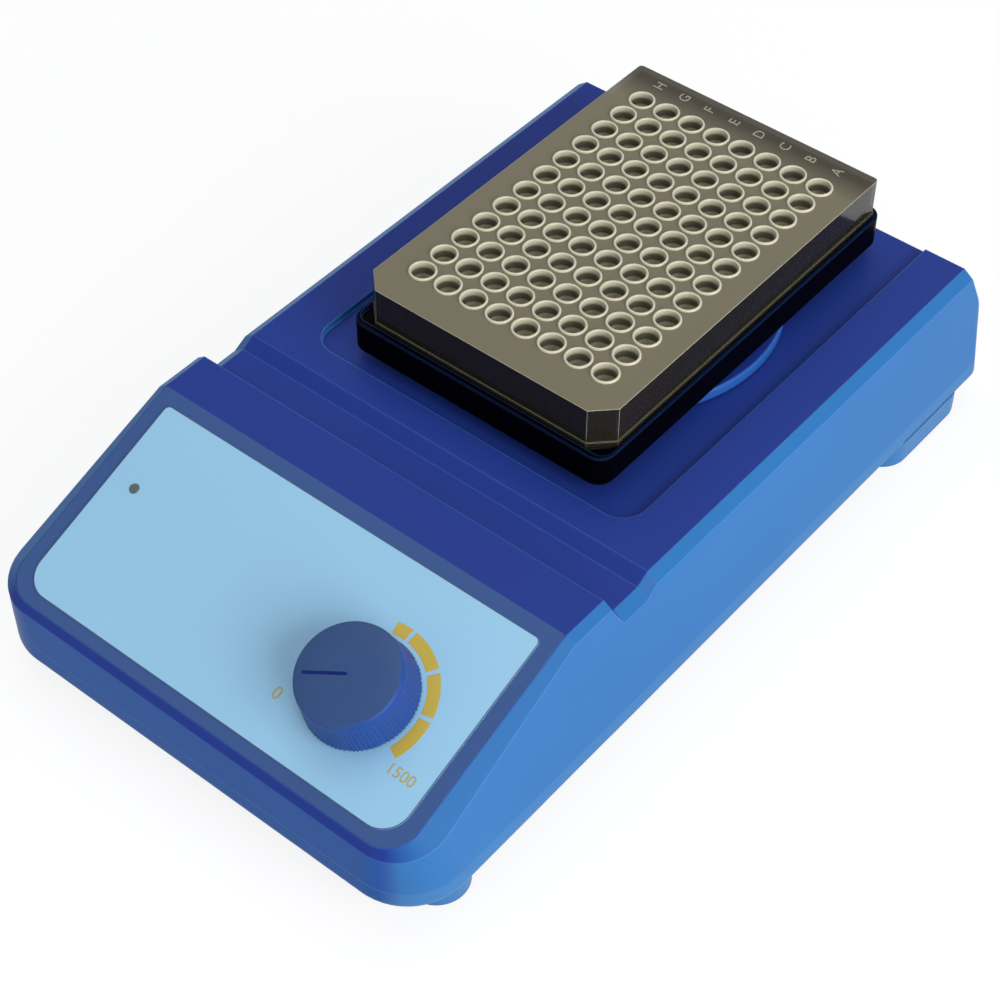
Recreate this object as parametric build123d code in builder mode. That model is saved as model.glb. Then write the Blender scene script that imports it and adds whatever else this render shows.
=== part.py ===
from build123d import *
from math import radians, tan
import os

# A microplate mixer: a low housing with a sloped control panel, a flat deck and a shaker
# head that carries one 96-well plate round a small circle without turning it.
# Millimetres, +X right, +Y to the rear, +Z up. The origin is the centre of the footprint.

os.makedirs("parts", exist_ok=True)

# Sizes of cutting and joining blocks
CUT_WIDE = 200.0
CUT_LONG = 300.0
CUT_HIGH = 80.0
MERGE = 1.0               # how far a post starts inside the floor
REST_BLOCK_START = 1.87   # block that keeps everything behind the panel's top edge
REST_BLOCK_PAST = 15.55   # how far that block runs past the rear end
REST_BLOCK_Z = 20.0
REST_BLOCK_HIGH = 90.0

# Clearances
RUN_FIT = 0.05            # radial play of a turning pin in its bearing
SET_FIT = 0.1             # radial play of a fixed piece in its hole
SIDE_GAP = 0.4            # free space beside a moving piece

# Housing outline
LENGTH = 260.9
HALF_LENGTH = LENGTH / 2
AXIS_Y = HALF_LENGTH - 83.7              # crank axis, set from the rear end
BASE_BOTTOM = 7.5         # underside of the base above the floor
SPLIT_Z = 14.5            # parting line between base and cover
TOP_LOFT_Z = 60.0
HALF_WIDTH_LOW = 76.9     # at the underside
WALL_SPLAY = 5.48         # how far the walls lean in up to TOP_LOFT_Z
HALF_WIDTH_HIGH = HALF_WIDTH_LOW - WALL_SPLAY
FRONT_R_LOW = 18.65
FRONT_R_HIGH = 9.0
REAR_R = 5.0
WALL = 2.5
BASE_EDGE_R = 3.0
LIP_IN = 1.6              # from the inner wall to the lip
LIP_T = 1.4
LIP_UP = 2.0
LIP_CORNER_R = 1.5
FLOOR_STEP = 2.0
VENT_PITCH_X = 9.0
VENT_PITCH_Y = 30.0
VENT_LONG = 22.0
VENT_WIDE = 3.0

# Side view of the cover
DECK_Z = 50.5
RIDGE_Z = 55.8
GROOVE_Z = 48.0
DECK_FRONT_Y = 100.15 - HALF_LENGTH      # these lie behind the front end
GROOVE_REAR_Y = 95.9 - HALF_LENGTH
GROOVE_FRONT_Y = 86.05 - HALF_LENGTH
RIDGE_REAR_Y = 81.45 - HALF_LENGTH
DECK_REAR_Y = HALF_LENGTH - 8.45
BEVEL_HALF_WIDTH = HALF_WIDTH_LOW - 7.5  # where the side bevel starts
BEVEL_DROP = 0.748        # fall of the bevel for each unit outwards
BEVEL_RUN = 10.0

# Control panel: a plane through the top middle of the label
PANEL_Y = 62.58 - HALF_LENGTH
PANEL_Z = 54.25
PANEL_ANGLE = 21.6
PANEL_LENGTH = 65.6       # from that point to the front bevel
PANEL_HALF_WIDTH = HALF_WIDTH_LOW - 7.4
PANEL_CORNER_R = 10.0
PANEL_UPPER = 10.0        # how far the panel's block runs under the ridge
PANEL_BEVEL_SPREAD = 1.439
PANEL_BLOCK_DEPTH = 70.0
PANEL_BLOCK_RISE = 0.5
PANEL_CUT = 14.0          # length of a cut through the panel's wall

# Pan in the deck
PAN_Z = 48.5
PAN_HALF_WIDTH = 56.0
PAN_FRONT_Y = AXIS_Y - 68.05
PAN_CORNER_R = 8.0
DRIVE_OPENING_R = 40.5
PAN_CUT = 20.0

# Label
LABEL_MARGIN = 4.6        # from the label to the panel's side edge
LABEL_HALF_WIDTH = PANEL_HALF_WIDTH - LABEL_MARGIN
LABEL_LENGTH = 62.0
LABEL_BOTTOM_R = 8.0
LABEL_TOP_R = 1.8
LABEL_THICK = 0.25

# Feet
FRONT_FOOT_X = HALF_WIDTH_LOW - 10.9
FRONT_FOOT_Y = 19.95 - HALF_LENGTH
REAR_FOOT_X = HALF_WIDTH_LOW - 9.2
REAR_FOOT_Y1 = HALF_LENGTH - 40.45
REAR_FOOT_Y2 = HALF_LENGTH - 16.45
LUG_R = 9.0
LUG_Z = 1.5
PAD_R = 7.2
PAD_TOP = 3.0

# Screws that join base and cover
CASE_SCREW_X = (50.0, 62.0, 50.0)
CASE_SCREW_Y = (8.45 - HALF_LENGTH, 0.0, HALF_LENGTH - 18.45)
CASE_BOSS_R = 4.5
CASE_BOSS_SPLIT_Z = 20.0
CASE_SCREW_R = 1.5
CASE_SCREW_HEAD_R = 2.9
CASE_SCREW_HEAD_H = 2.0
CASE_RECESS_R = 3.4
CASE_RECESS_TOP = 11.0
CASE_SCREW_TOP = 27.0
CASE_SOCKET_R = 1.3
CASE_SOCKET_DEEP = 1.2
PILOT_TOP = 28.0

# Rear recess with the sockets
RECESS_HALF_WIDTH = 50.0
RECESS_Z = 23.0
RECESS_HALF_HEIGHT = 7.0
RECESS_FLOOR_Y = HALF_LENGTH - 3.05
RECESS_WALL = 2.5
RECESS_CORNER_R = 2.0
RECESS_CUT = 20.0
RECESS_HOLE_CUT = 8.0
JACK_X = -33.0
JACK_BARREL_R = 5.5
JACK_BORE_R = 3.0
JACK_END_Y = RECESS_FLOOR_Y + 2.4
JACK_BODY_Y = RECESS_FLOOR_Y - 17.4
JACK_BORE_DEEP = 11.0
JACK_PIN_LONG = 9.5
JACK_BODY_HALF = 6.5
JACK_NUT_AF = 12.8
JACK_NUT_H = 2.2
JACK_PIN_R = 1.0
SWITCH_X = 33.0
SWITCH_BEZEL_W = 15.0
SWITCH_BEZEL_H = 11.0
SWITCH_BEZEL_T = 1.2
SWITCH_BEZEL_R = 1.0
SWITCH_BODY_W = 13.0
SWITCH_BODY_H = 9.6
SWITCH_BODY_Y = RECESS_FLOOR_Y - 13.4
ROCKER_W = 10.4
ROCKER_H = 6.4
ROCKER_PIVOT_Y = RECESS_FLOOR_Y - 1.1
ROCKER_FACE = 2.7         # from the pivot to the rocker's upper and lower lip
ROCKER_VALLEY = 2.0
ROCKER_BACK = 2.0
ROCKER_TILT = 7.0
ROCKER_STUB_R = 0.8
ROCKER_WELL_Y = RECESS_FLOOR_Y - 4.9
ROCKER_WELL_W = 11.2
ROCKER_WELL_H = 7.8

# Drive
ORBIT_R = 2.25            # half of the 4.5 mm orbit
HEAD_Y = AXIS_Y + ORBIT_R
PLATE_Z = 33.0
PLATE_THICK = 3.0
PLATE_X = 110.0
PLATE_LONG = 110.0
POST_X = 48.0
POST_PITCH_Y = 48.0
POST_R = 5.0
POST_SCREW_R = 1.5
POST_SCREW_HEAD_R = 2.8
POST_SCREW_HEAD_H = 2.2
POST_SCREW_LONG = 12.0
MOTOR_R = 24.0
MOTOR_Z = 15.5
MOTOR_WALL = 2.0
MOTOR_TOP_T = 3.0
MOTOR_PLUG_WIDE = 12.0
MOTOR_PLUG_OUT = 2.0
MOTOR_PLUG_HIGH = 8.0
STATOR_SLOT_R = 1.6
STATOR_SLOT_IN = 2.5
STATOR_SLOTS = 9
MOTOR_SCREW_PITCH_R = 17.0
MOTOR_SCREW_HEAD_R = 2.8
STATOR_IN_R = 15.5
ROTOR_R = 15.0
ROTOR_Z1 = 18.5
ROTOR_Z2 = 29.0
SHAFT_R = 3.0
SHAFT_Z1 = 16.5
SHAFT_Z2 = 41.5
BUSH_R = 5.0
CRANK_R = 9.0
CRANK_Z1 = 36.9
CRANK_Z2 = 42.6
CRANK_SHOULDER_R = 5.4
CRANK_SHOULDER_H = 0.8
CRANK_PIN_R = 4.0
COUNTER_R = 20.0
COUNTER_Z1 = 37.4
COUNTER_Z2 = 42.0
COUNTER_CUT = 3.0         # where the weight starts in front of the axis
GRUB_R = 1.5
GRUB_Z = 39.2
GRUB_SOCKET_R = 0.8
GRUB_SOCKET_DEEP = 1.5
GRUB_SET_BACK = 1.0

# Ball bearing in the head
BEARING_H = 6.0
BEARING_R = 9.5
RACE_IN_R = 5.5
RACE_OUT_R = 8.0
BALL_R = 1.4
BALL_COUNT = 9
BALL_PITCH_R = 6.8
GROOVE_PITCH_R = 6.75
GROOVE_R = 1.45

# Idler cranks
IDLER_PITCH_R = 29.0
IDLER_JOURNAL_R = 2.5
IDLER_PIN_R = 2.0
IDLER_WEB_R = 5.5
IDLER_WEB_Z1 = 37.3
IDLER_WEB_Z2 = 40.3
IDLER_BOTTOM_Z = 30.2
IDLER_PIN_TOP = 48.2
IDLER_BUSH_R = 4.0
IDLER_FLANGE_R = 5.5
IDLER_FLANGE_H = 1.0
CLIP_R = 4.2
CLIP_T = 0.8
CLIP_GROOVE_R = 1.9
CLIP_MOUTH = 2.2
CLIP_GAP = 0.2
IDLER_BUSH_LOW = 1.0      # how far the bush stands out under the drive plate
HEAD_BUSH_R = 3.6

# Shaker head and tray
DISC_R = 47.0
DISC_Z1 = 49.3
DISC_Z2 = 52.6
HUB_R = 12.5
HUB_Z = 43.7
HEAD_BOSS_R = 6.5
HEAD_BOSS_Z = 41.2
HEAD_RIB_T = 4.0
HEAD_RIB_Z = 46.0
DISC_EDGE_R = 0.8
HEAD_BUSH_ROOM = 0.8      # free space over an idler's pin
TRAY_LONG = 132.8
TRAY_WIDE = 88.6
TRAY_TOP = 62.65
TRAY_CORNER_R = 5.0
NEST_CORNER_R = 3.6
TRAY_RIM_R = 0.5
TRAY_FOOT_R = 0.8
TRAY_CORE = 58.0          # solid middle of the tray that takes the screws
TRAY_SCREW_SUNK = 0.3
NEST_Z = 61.5
NEST_LONG = 129.0
NEST_WIDE = 86.7
TRAY_SKIN = 2.6
TRAY_SCREW_PITCH = 44.0
TRAY_SCREW_R = 1.5
TRAY_SCREW_HEAD_R = 2.9
TRAY_SCREW_BOSS_R = 4.5
TRAY_SCREW_Z = 47.0
TRAY_SOCKET_R = 1.1
TRAY_SOCKET_DEEP = 1.3

# Microplate
MP_LONG = 127.76
MP_WIDE = 85.48
MP_HIGH = 14.35
MP_CORNER_R = 3.2
MP_CHAMFER = 6.0
MP_FLANGE_H = 2.2
MP_INSET = 0.3
MP_WALL = 1.2
MP_DECK_DROP = 0.6
MP_DECK_T = 1.2
WELL_PITCH = 9.0
WELL_OUT_R = 4.0
WELL_IN_R = 3.35
WELL_DEPTH = 10.8
WELL_FLOOR = 1.2

# Speed knob and potentiometer, measured on the panel from the label's top middle
KNOB_X = LABEL_HALF_WIDTH - 30.6
KNOB_DOWN = 35.8
KNOB_TOP_R = 14.3
KNOB_SKIRT_R = 15.8
KNOB_BOTTOM = 0.9
KNOB_HIGH = 13.0
KNOB_HOLLOW_R = 8.5
KNOB_HOLLOW_TOP = 5.5
KNOB_FLUTES = 36
KNOB_FLUTE_R = 0.6
POINTER_ANGLE = 210.0
POINTER_W = 1.6
POINTER_DEEP = 0.6
POINTER_LONG = 11.8
POT_SHAFT_R = 3.0
POT_SHAFT_TOP = 11.0
POT_BUSH_R = 4.4
POT_BUSH_TOP = 4.4
POT_NUT_AF = 11.0
POT_NUT_H = 2.4
POT_BODY_R = 8.5
POT_BODY_H = 8.0
POT_FLOOR = 2.0
POT_TAB_WIDE = 10.0
POT_TAB_LONG = 5.0
POT_TAB_T = 1.6

# Indicator lamp
LED_X = 8.7 - LABEL_HALF_WIDTH
LED_DOWN = 24.3
LED_R = 1.4
LED_PROUD = 0.15          # height above the label
LED_DEEP = 8.0
LED_EDGE = 0.1
HOLDER_R = 2.6
HOLDER_DEEP = 4.0

# Circuit board and ballast
BOARD_WIDE = 96.0
BOARD_LONG = 46.0
BOARD_Y = 39.45 - HALF_LENGTH
BOARD_Z = 14.0
BOARD_T = 1.6
STANDOFF_R = 3.0
STANDOFF_INSET = 5.0
BOARD_SCREW_R = 1.2
BOARD_SCREW_HEAD_R = 2.2
BOARD_SCREW_HEAD_H = 1.5
BALLAST_WIDE = 80.0
BALLAST_LONG = 92.0
BALLAST_Y = AXIS_Y + 0.25
BALLAST_T = 4.0
LEAD_R = 1.3
LEAD_PITCH = 2.8
LEAD_Z = 19.0
LEAD_BEND_R = 12.0
LEAD_FALL_Y1 = BOARD_Y + 66.0
LEAD_FALL_Y2 = BOARD_Y + 41.0
PLUG_IN = 3.0
SOCKET_X = (-33.0, 0.0, 33.0)
SOCKET_Y = BOARD_Y + 20.0
SOCKET_TOP = 22.0
SOCKET_WIDE = 9.0
SOCKET_LONG = 6.0
RELAY_Y = BOARD_Y + 3.0
RELAY_X = -42.0
CAPACITOR_X = -18.0
CAPACITOR_Y = (BOARD_Y + 6.0, BOARD_Y - 7.0)
CAPACITOR_R = 4.0
CAPACITOR_HIGH = 9.0
CHIP_X = 4.0
CHIP_Y = BOARD_Y - 1.0
CHIP_SIDE = 14.0
CHIP_HIGH = 1.8
DRIVER_X = 20.0
DRIVER_Y = (BOARD_Y + 7.0, BOARD_Y - 7.0)
DRIVER_WIDE = 5.0
DRIVER_LONG = 4.0
BALLAST_CHAMFER = 4.0
DRIVE_CORNER_R = 6.0

FLOOR_Z = BASE_BOTTOM + WALL
PLATE_TOP = PLATE_Z + PLATE_THICK
TRAY_DEPTH = NEST_Z - DISC_Z2

panel = Plane(
    origin=(0, PANEL_Y, PANEL_Z),
    x_dir=(1, 0, 0),
    z_dir=Vector(0, 0, 1).rotate(Axis.X, PANEL_ANGLE),
)
knob_origin = panel.from_local_coords((KNOB_X, -KNOB_DOWN, 0))
knob_plane = Plane(origin=knob_origin, x_dir=(1, 0, 0), z_dir=panel.z_dir)
led_origin = panel.from_local_coords((LED_X, -LED_DOWN, 0))
led_plane = Plane(origin=led_origin, x_dir=(1, 0, 0), z_dir=panel.z_dir)
rear_plane = Plane(origin=(0, RECESS_FLOOR_Y, RECESS_Z), x_dir=(-1, 0, 0), z_dir=(0, 1, 0))

case_spots = []
for spot_x, spot_y in zip(CASE_SCREW_X, CASE_SCREW_Y):
    case_spots.append((spot_x, spot_y))
    case_spots.append((-spot_x, spot_y))

post_spots = [
    (side * POST_X, AXIS_Y + end * POST_PITCH_Y)
    for side in (-1, 1)
    for end in (-1, 1)
]

# Side outline of the cover, from the front foot of the panel round to the rear wall
PANEL_FALL = tan(radians(PANEL_ANGLE))
RIDGE_FRONT_Y = PANEL_Y + (RIDGE_Z - PANEL_Z) / PANEL_FALL
FAR_FRONT_Y = -14.55 - HALF_LENGTH
side_outline = [
    (FAR_FRONT_Y, -30.0),
    (FAR_FRONT_Y, PANEL_Z + (FAR_FRONT_Y - PANEL_Y) * PANEL_FALL),
    (RIDGE_FRONT_Y, RIDGE_Z),
    (RIDGE_REAR_Y, RIDGE_Z),
    (GROOVE_FRONT_Y, GROOVE_Z),
    (GROOVE_REAR_Y, GROOVE_Z),
    (DECK_FRONT_Y, DECK_Z),
    (DECK_REAR_Y, DECK_Z),
    (HALF_LENGTH - 4.15, 41.1),
    (HALF_LENGTH - 1.05, 32.5),
    (HALF_LENGTH - 0.35, 24.0),
    (HALF_LENGTH + 0.45, 10.0),
    (HALF_LENGTH + 1.05, -30.0),
]

# Outer form: splayed walls, cut by the side outline with its bevels
with BuildPart() as outer:
    with BuildSketch(Plane.XY.offset(BASE_BOTTOM)):
        Rectangle(2 * HALF_WIDTH_LOW, LENGTH)
        fillet(vertices().group_by(Axis.Y)[0], FRONT_R_LOW)
        fillet(vertices().group_by(Axis.Y)[-1], REAR_R)
    with BuildSketch(Plane.XY.offset(TOP_LOFT_Z)):
        Rectangle(2 * HALF_WIDTH_HIGH, LENGTH)
        fillet(vertices().group_by(Axis.Y)[0], FRONT_R_HIGH)
        fillet(vertices().group_by(Axis.Y)[-1], REAR_R)
    loft(ruled=True)

with BuildPart() as profile:
    with BuildSketch(Plane.YZ.offset(-BEVEL_HALF_WIDTH)):
        Polygon(*side_outline, align=None)
    extrude(amount=2 * BEVEL_HALF_WIDTH)
    right_face = profile.faces().sort_by(Axis.X)[-1]
    left_face = profile.faces().sort_by(Axis.X)[0]
    slant = (1 + BEVEL_DROP**2) ** 0.5 * BEVEL_RUN
    extrude(right_face, amount=slant, dir=(1, 0, -BEVEL_DROP))
    extrude(left_face, amount=slant, dir=(-1, 0, -BEVEL_DROP))

# The panel has a rounded bevel of its own at the two front corners
rest_front = PANEL_Y + REST_BLOCK_START
rest_rear = HALF_LENGTH + REST_BLOCK_PAST
with BuildPart() as panel_block:
    with BuildSketch(panel.offset(PANEL_BLOCK_RISE)):
        with Locations((0, (PANEL_UPPER - PANEL_LENGTH) / 2)):
            Rectangle(
                2 * (PANEL_HALF_WIDTH - PANEL_BLOCK_RISE * PANEL_BEVEL_SPREAD),
                PANEL_LENGTH + PANEL_UPPER - 2 * PANEL_BLOCK_RISE * PANEL_BEVEL_SPREAD,
            )
        fillet(vertices(), PANEL_CORNER_R - PANEL_BLOCK_RISE * PANEL_BEVEL_SPREAD)
    with BuildSketch(panel.offset(-PANEL_BLOCK_DEPTH)):
        with Locations((0, (PANEL_UPPER - PANEL_LENGTH) / 2)):
            Rectangle(
                2 * (PANEL_HALF_WIDTH + PANEL_BLOCK_DEPTH * PANEL_BEVEL_SPREAD),
                PANEL_LENGTH + PANEL_UPPER + 2 * PANEL_BLOCK_DEPTH * PANEL_BEVEL_SPREAD,
            )
        fillet(vertices(), PANEL_CORNER_R + PANEL_BLOCK_DEPTH * PANEL_BEVEL_SPREAD)
    loft(ruled=True)
    with Locations((0, (rest_front + rest_rear) / 2, REST_BLOCK_Z)):
        Box(CUT_WIDE, rest_rear - rest_front, REST_BLOCK_HIGH)

with BuildPart() as body:
    add(outer.part)
    add(profile.part, mode=Mode.INTERSECT)
    add(panel_block.part, mode=Mode.INTERSECT)

# Inner space, a wall's thickness inside
with BuildPart() as inner_profile:
    with BuildSketch(Plane.YZ.offset(-(BEVEL_HALF_WIDTH - WALL))):
        Polygon(*side_outline, align=None)
        offset(amount=-WALL, kind=Kind.INTERSECTION)
    extrude(amount=2 * (BEVEL_HALF_WIDTH - WALL))
    inner_right = inner_profile.faces().sort_by(Axis.X)[-1]
    inner_left = inner_profile.faces().sort_by(Axis.X)[0]
    extrude(inner_right, amount=slant, dir=(1, 0, -BEVEL_DROP))
    extrude(inner_left, amount=slant, dir=(-1, 0, -BEVEL_DROP))

with BuildPart() as inner:
    with BuildSketch(Plane.XY.offset(BASE_BOTTOM)):
        Rectangle(2 * (HALF_WIDTH_LOW - WALL), LENGTH - 2 * WALL)
        fillet(vertices().group_by(Axis.Y)[0], FRONT_R_LOW - WALL)
        fillet(vertices().group_by(Axis.Y)[-1], REAR_R - WALL)
    with BuildSketch(Plane.XY.offset(TOP_LOFT_Z)):
        Rectangle(2 * (HALF_WIDTH_HIGH - WALL), LENGTH - 2 * WALL)
        fillet(vertices().group_by(Axis.Y)[0], FRONT_R_HIGH - WALL)
        fillet(vertices().group_by(Axis.Y)[-1], REAR_R - WALL)
    loft(ruled=True)
    add(inner_profile.part, mode=Mode.INTERSECT)

pan_length = HALF_LENGTH + PAN_CUT - PAN_FRONT_Y
pan_middle = PAN_FRONT_Y + pan_length / 2

with BuildPart() as cover_space:
    add(inner.part)
    with BuildSketch(Plane.XY.offset(PAN_Z - WALL)):
        with Locations((0, pan_middle - WALL)):
            Rectangle(2 * (PAN_HALF_WIDTH + WALL), pan_length)
    extrude(amount=PAN_CUT, mode=Mode.SUBTRACT)
    with BuildSketch(Plane.XY.offset(CASE_BOSS_SPLIT_Z)):
        with Locations(*case_spots):
            Circle(CASE_BOSS_R)
    extrude(amount=CUT_HIGH, mode=Mode.SUBTRACT)
    with BuildSketch(rear_plane):
        Rectangle(2 * (RECESS_HALF_WIDTH + WALL), 2 * (RECESS_HALF_HEIGHT + WALL))
    extrude(amount=RECESS_CUT, mode=Mode.SUBTRACT)
    with BuildSketch(rear_plane):
        Rectangle(2 * (RECESS_HALF_WIDTH + WALL), 2 * (RECESS_HALF_HEIGHT + WALL))
    extrude(amount=-RECESS_WALL, mode=Mode.SUBTRACT)

# Cover
with BuildPart() as top_shell:
    add(body.part)
    add(cover_space.part, mode=Mode.SUBTRACT)
    with BuildSketch(Plane.XY.offset(PAN_Z)):
        with Locations((0, pan_middle)):
            Rectangle(2 * PAN_HALF_WIDTH, pan_length)
        fillet(vertices().group_by(Axis.Y)[0], PAN_CORNER_R)
    extrude(amount=PAN_CUT, mode=Mode.SUBTRACT)
    with BuildSketch(Plane.XY.offset(PAN_Z - PAN_CUT / 2)):
        with Locations((0, AXIS_Y)):
            Circle(DRIVE_OPENING_R)
    extrude(amount=PAN_CUT, mode=Mode.SUBTRACT)
    with BuildSketch(Plane.XY):
        Rectangle(CUT_WIDE, CUT_LONG)
    extrude(amount=SPLIT_Z, mode=Mode.SUBTRACT)
    with BuildSketch(Plane.XY.offset(SPLIT_Z)):
        with Locations(*case_spots):
            Circle(CASE_SCREW_R + SET_FIT)
    extrude(amount=PILOT_TOP - SPLIT_Z, mode=Mode.SUBTRACT)
    with BuildSketch(rear_plane):
        Rectangle(2 * RECESS_HALF_WIDTH, 2 * RECESS_HALF_HEIGHT)
        fillet(vertices(), RECESS_CORNER_R)
    extrude(amount=RECESS_CUT, mode=Mode.SUBTRACT)
    with BuildSketch(rear_plane.offset(1 - RECESS_HOLE_CUT)):
        with Locations((-JACK_X, 0)):
            Circle(JACK_BARREL_R + SET_FIT)
        with Locations((-SWITCH_X, 0)):
            Rectangle(SWITCH_BODY_W + 2 * SET_FIT, SWITCH_BODY_H + 2 * SET_FIT)
    extrude(amount=RECESS_HOLE_CUT, mode=Mode.SUBTRACT)
    with BuildSketch(knob_plane.offset(-PANEL_CUT / 2)):
        Circle(POT_BUSH_R + SET_FIT)
    extrude(amount=PANEL_CUT, mode=Mode.SUBTRACT)
    with BuildSketch(led_plane.offset(-PANEL_CUT / 2)):
        Circle(LED_R + SET_FIT)
    extrude(amount=PANEL_CUT, mode=Mode.SUBTRACT)
top_shell.part.label = "top_shell"
export_step(top_shell.part, "parts/top_shell.step")

# Base with lugs, posts, standoffs and a lip that centres the cover
with BuildPart() as base_shell:
    add(body.part)
    with BuildSketch(Plane.XY.offset(SPLIT_Z)):
        Rectangle(CUT_WIDE, CUT_LONG)
    extrude(amount=CUT_HIGH, mode=Mode.SUBTRACT)
    fillet(base_shell.faces().sort_by(Axis.Z)[0].edges(), BASE_EDGE_R)
    add(inner.part, mode=Mode.SUBTRACT)
    with BuildSketch(Plane.XY.offset(BASE_BOTTOM)):
        Rectangle(2 * (HALF_WIDTH_LOW - WALL) - 1, LENGTH - 2 * WALL - 1)
        fillet(vertices().group_by(Axis.Y)[0], FRONT_R_LOW - WALL)
        fillet(vertices().group_by(Axis.Y)[-1], REAR_R - WALL)
    extrude(amount=WALL)
    with BuildSketch(Plane.XY.offset(FLOOR_Z - MERGE)):
        Rectangle(2 * (HALF_WIDTH_LOW - WALL - LIP_IN), LENGTH - 2 * (WALL + LIP_IN))
        fillet(vertices().group_by(Axis.Y)[0], FRONT_R_LOW - WALL - LIP_IN)
        fillet(vertices().group_by(Axis.Y)[-1], LIP_CORNER_R)
        offset(amount=-LIP_T, kind=Kind.INTERSECTION, mode=Mode.SUBTRACT)
    extrude(amount=SPLIT_Z + LIP_UP - FLOOR_Z + MERGE)
    with BuildSketch(Plane.XY.offset(SPLIT_Z)):
        with Locations((0, RECESS_FLOOR_Y)):
            Rectangle(2 * (RECESS_HALF_WIDTH + WALL + SIDE_GAP), 2 * (RECESS_WALL + SIDE_GAP))
    extrude(amount=LIP_UP + MERGE, mode=Mode.SUBTRACT)
    with BuildSketch(Plane.XY.offset(FLOOR_Z - MERGE)):
        Rectangle(2 * (HALF_WIDTH_LOW - WALL) - 1, LENGTH - 2 * WALL - 1)
        fillet(vertices().group_by(Axis.Y)[0], FRONT_R_LOW - WALL)
        fillet(vertices().group_by(Axis.Y)[-1], REAR_R - WALL)
        offset(amount=-FLOOR_STEP, kind=Kind.INTERSECTION, mode=Mode.SUBTRACT)
    extrude(amount=FLOOR_STEP + MERGE)
    with BuildSketch(Plane.XY.offset(FLOOR_Z - MERGE)):
        with Locations(*case_spots):
            Circle(CASE_BOSS_R)
    extrude(amount=CASE_BOSS_SPLIT_Z - FLOOR_Z + MERGE)
    with BuildSketch(Plane.XY.offset(FLOOR_Z - MERGE)):
        with Locations(*post_spots):
            Circle(POST_R)
    extrude(amount=PLATE_Z - FLOOR_Z + MERGE)
    with BuildSketch(Plane.XY.offset(FLOOR_Z - MERGE)):
        with Locations((0, BOARD_Y)):
            with GridLocations(BOARD_WIDE - 2 * STANDOFF_INSET, BOARD_LONG - 2 * STANDOFF_INSET, 2, 2):
                Circle(STANDOFF_R)
    extrude(amount=BOARD_Z - FLOOR_Z + MERGE)
    with BuildSketch(Plane.XY.offset(LUG_Z)):
        with Locations((FRONT_FOOT_X, FRONT_FOOT_Y), (-FRONT_FOOT_X, FRONT_FOOT_Y)):
            Circle(LUG_R)
        with Locations(
            (REAR_FOOT_X, (REAR_FOOT_Y1 + REAR_FOOT_Y2) / 2),
            (-REAR_FOOT_X, (REAR_FOOT_Y1 + REAR_FOOT_Y2) / 2),
        ):
            SlotCenterToCenter(REAR_FOOT_Y2 - REAR_FOOT_Y1, 2 * LUG_R, rotation=90)
    extrude(amount=FLOOR_Z - LUG_Z - 0.5)
    with BuildSketch(Plane.XY.offset(LUG_Z)):
        with Locations((FRONT_FOOT_X, FRONT_FOOT_Y), (-FRONT_FOOT_X, FRONT_FOOT_Y)):
            Circle(PAD_R)
        with Locations(
            (REAR_FOOT_X, (REAR_FOOT_Y1 + REAR_FOOT_Y2) / 2),
            (-REAR_FOOT_X, (REAR_FOOT_Y1 + REAR_FOOT_Y2) / 2),
        ):
            SlotCenterToCenter(REAR_FOOT_Y2 - REAR_FOOT_Y1, 2 * PAD_R, rotation=90)
    extrude(amount=PAD_TOP - LUG_Z, mode=Mode.SUBTRACT)
    with BuildSketch(Plane.XY):
        with Locations(*case_spots):
            Circle(CASE_RECESS_R)
    extrude(amount=CASE_RECESS_TOP, mode=Mode.SUBTRACT)
    with BuildSketch(Plane.XY):
        with Locations(*case_spots):
            Circle(CASE_SCREW_R + SET_FIT)
    extrude(amount=PILOT_TOP, mode=Mode.SUBTRACT)
    with BuildSketch(Plane.XY.offset(PLATE_Z)):
        with Locations(*post_spots):
            Circle(POST_SCREW_R)
    extrude(amount=-POST_SCREW_LONG, mode=Mode.SUBTRACT)
    with BuildSketch(Plane.XY):
        with Locations((0, BOARD_Y)):
            with GridLocations(VENT_PITCH_X, VENT_PITCH_Y, 7, 2):
                SlotOverall(VENT_LONG, VENT_WIDE, rotation=90)
    extrude(amount=FLOOR_Z + SET_FIT, mode=Mode.SUBTRACT)
base_shell.part.label = "base_shell"
export_step(base_shell.part, "parts/base_shell.step")

# Rubber pads under the lugs
with BuildPart() as rubber_feet:
    with BuildSketch(Plane.XY):
        with Locations((FRONT_FOOT_X, FRONT_FOOT_Y), (-FRONT_FOOT_X, FRONT_FOOT_Y)):
            Circle(PAD_R - SET_FIT)
        with Locations(
            (REAR_FOOT_X, (REAR_FOOT_Y1 + REAR_FOOT_Y2) / 2),
            (-REAR_FOOT_X, (REAR_FOOT_Y1 + REAR_FOOT_Y2) / 2),
        ):
            SlotCenterToCenter(REAR_FOOT_Y2 - REAR_FOOT_Y1, 2 * (PAD_R - SET_FIT), rotation=90)
    extrude(amount=PAD_TOP)
rubber_feet.part.label = "rubber_feet"
export_step(rubber_feet.part, "parts/rubber_feet.step")

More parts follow.
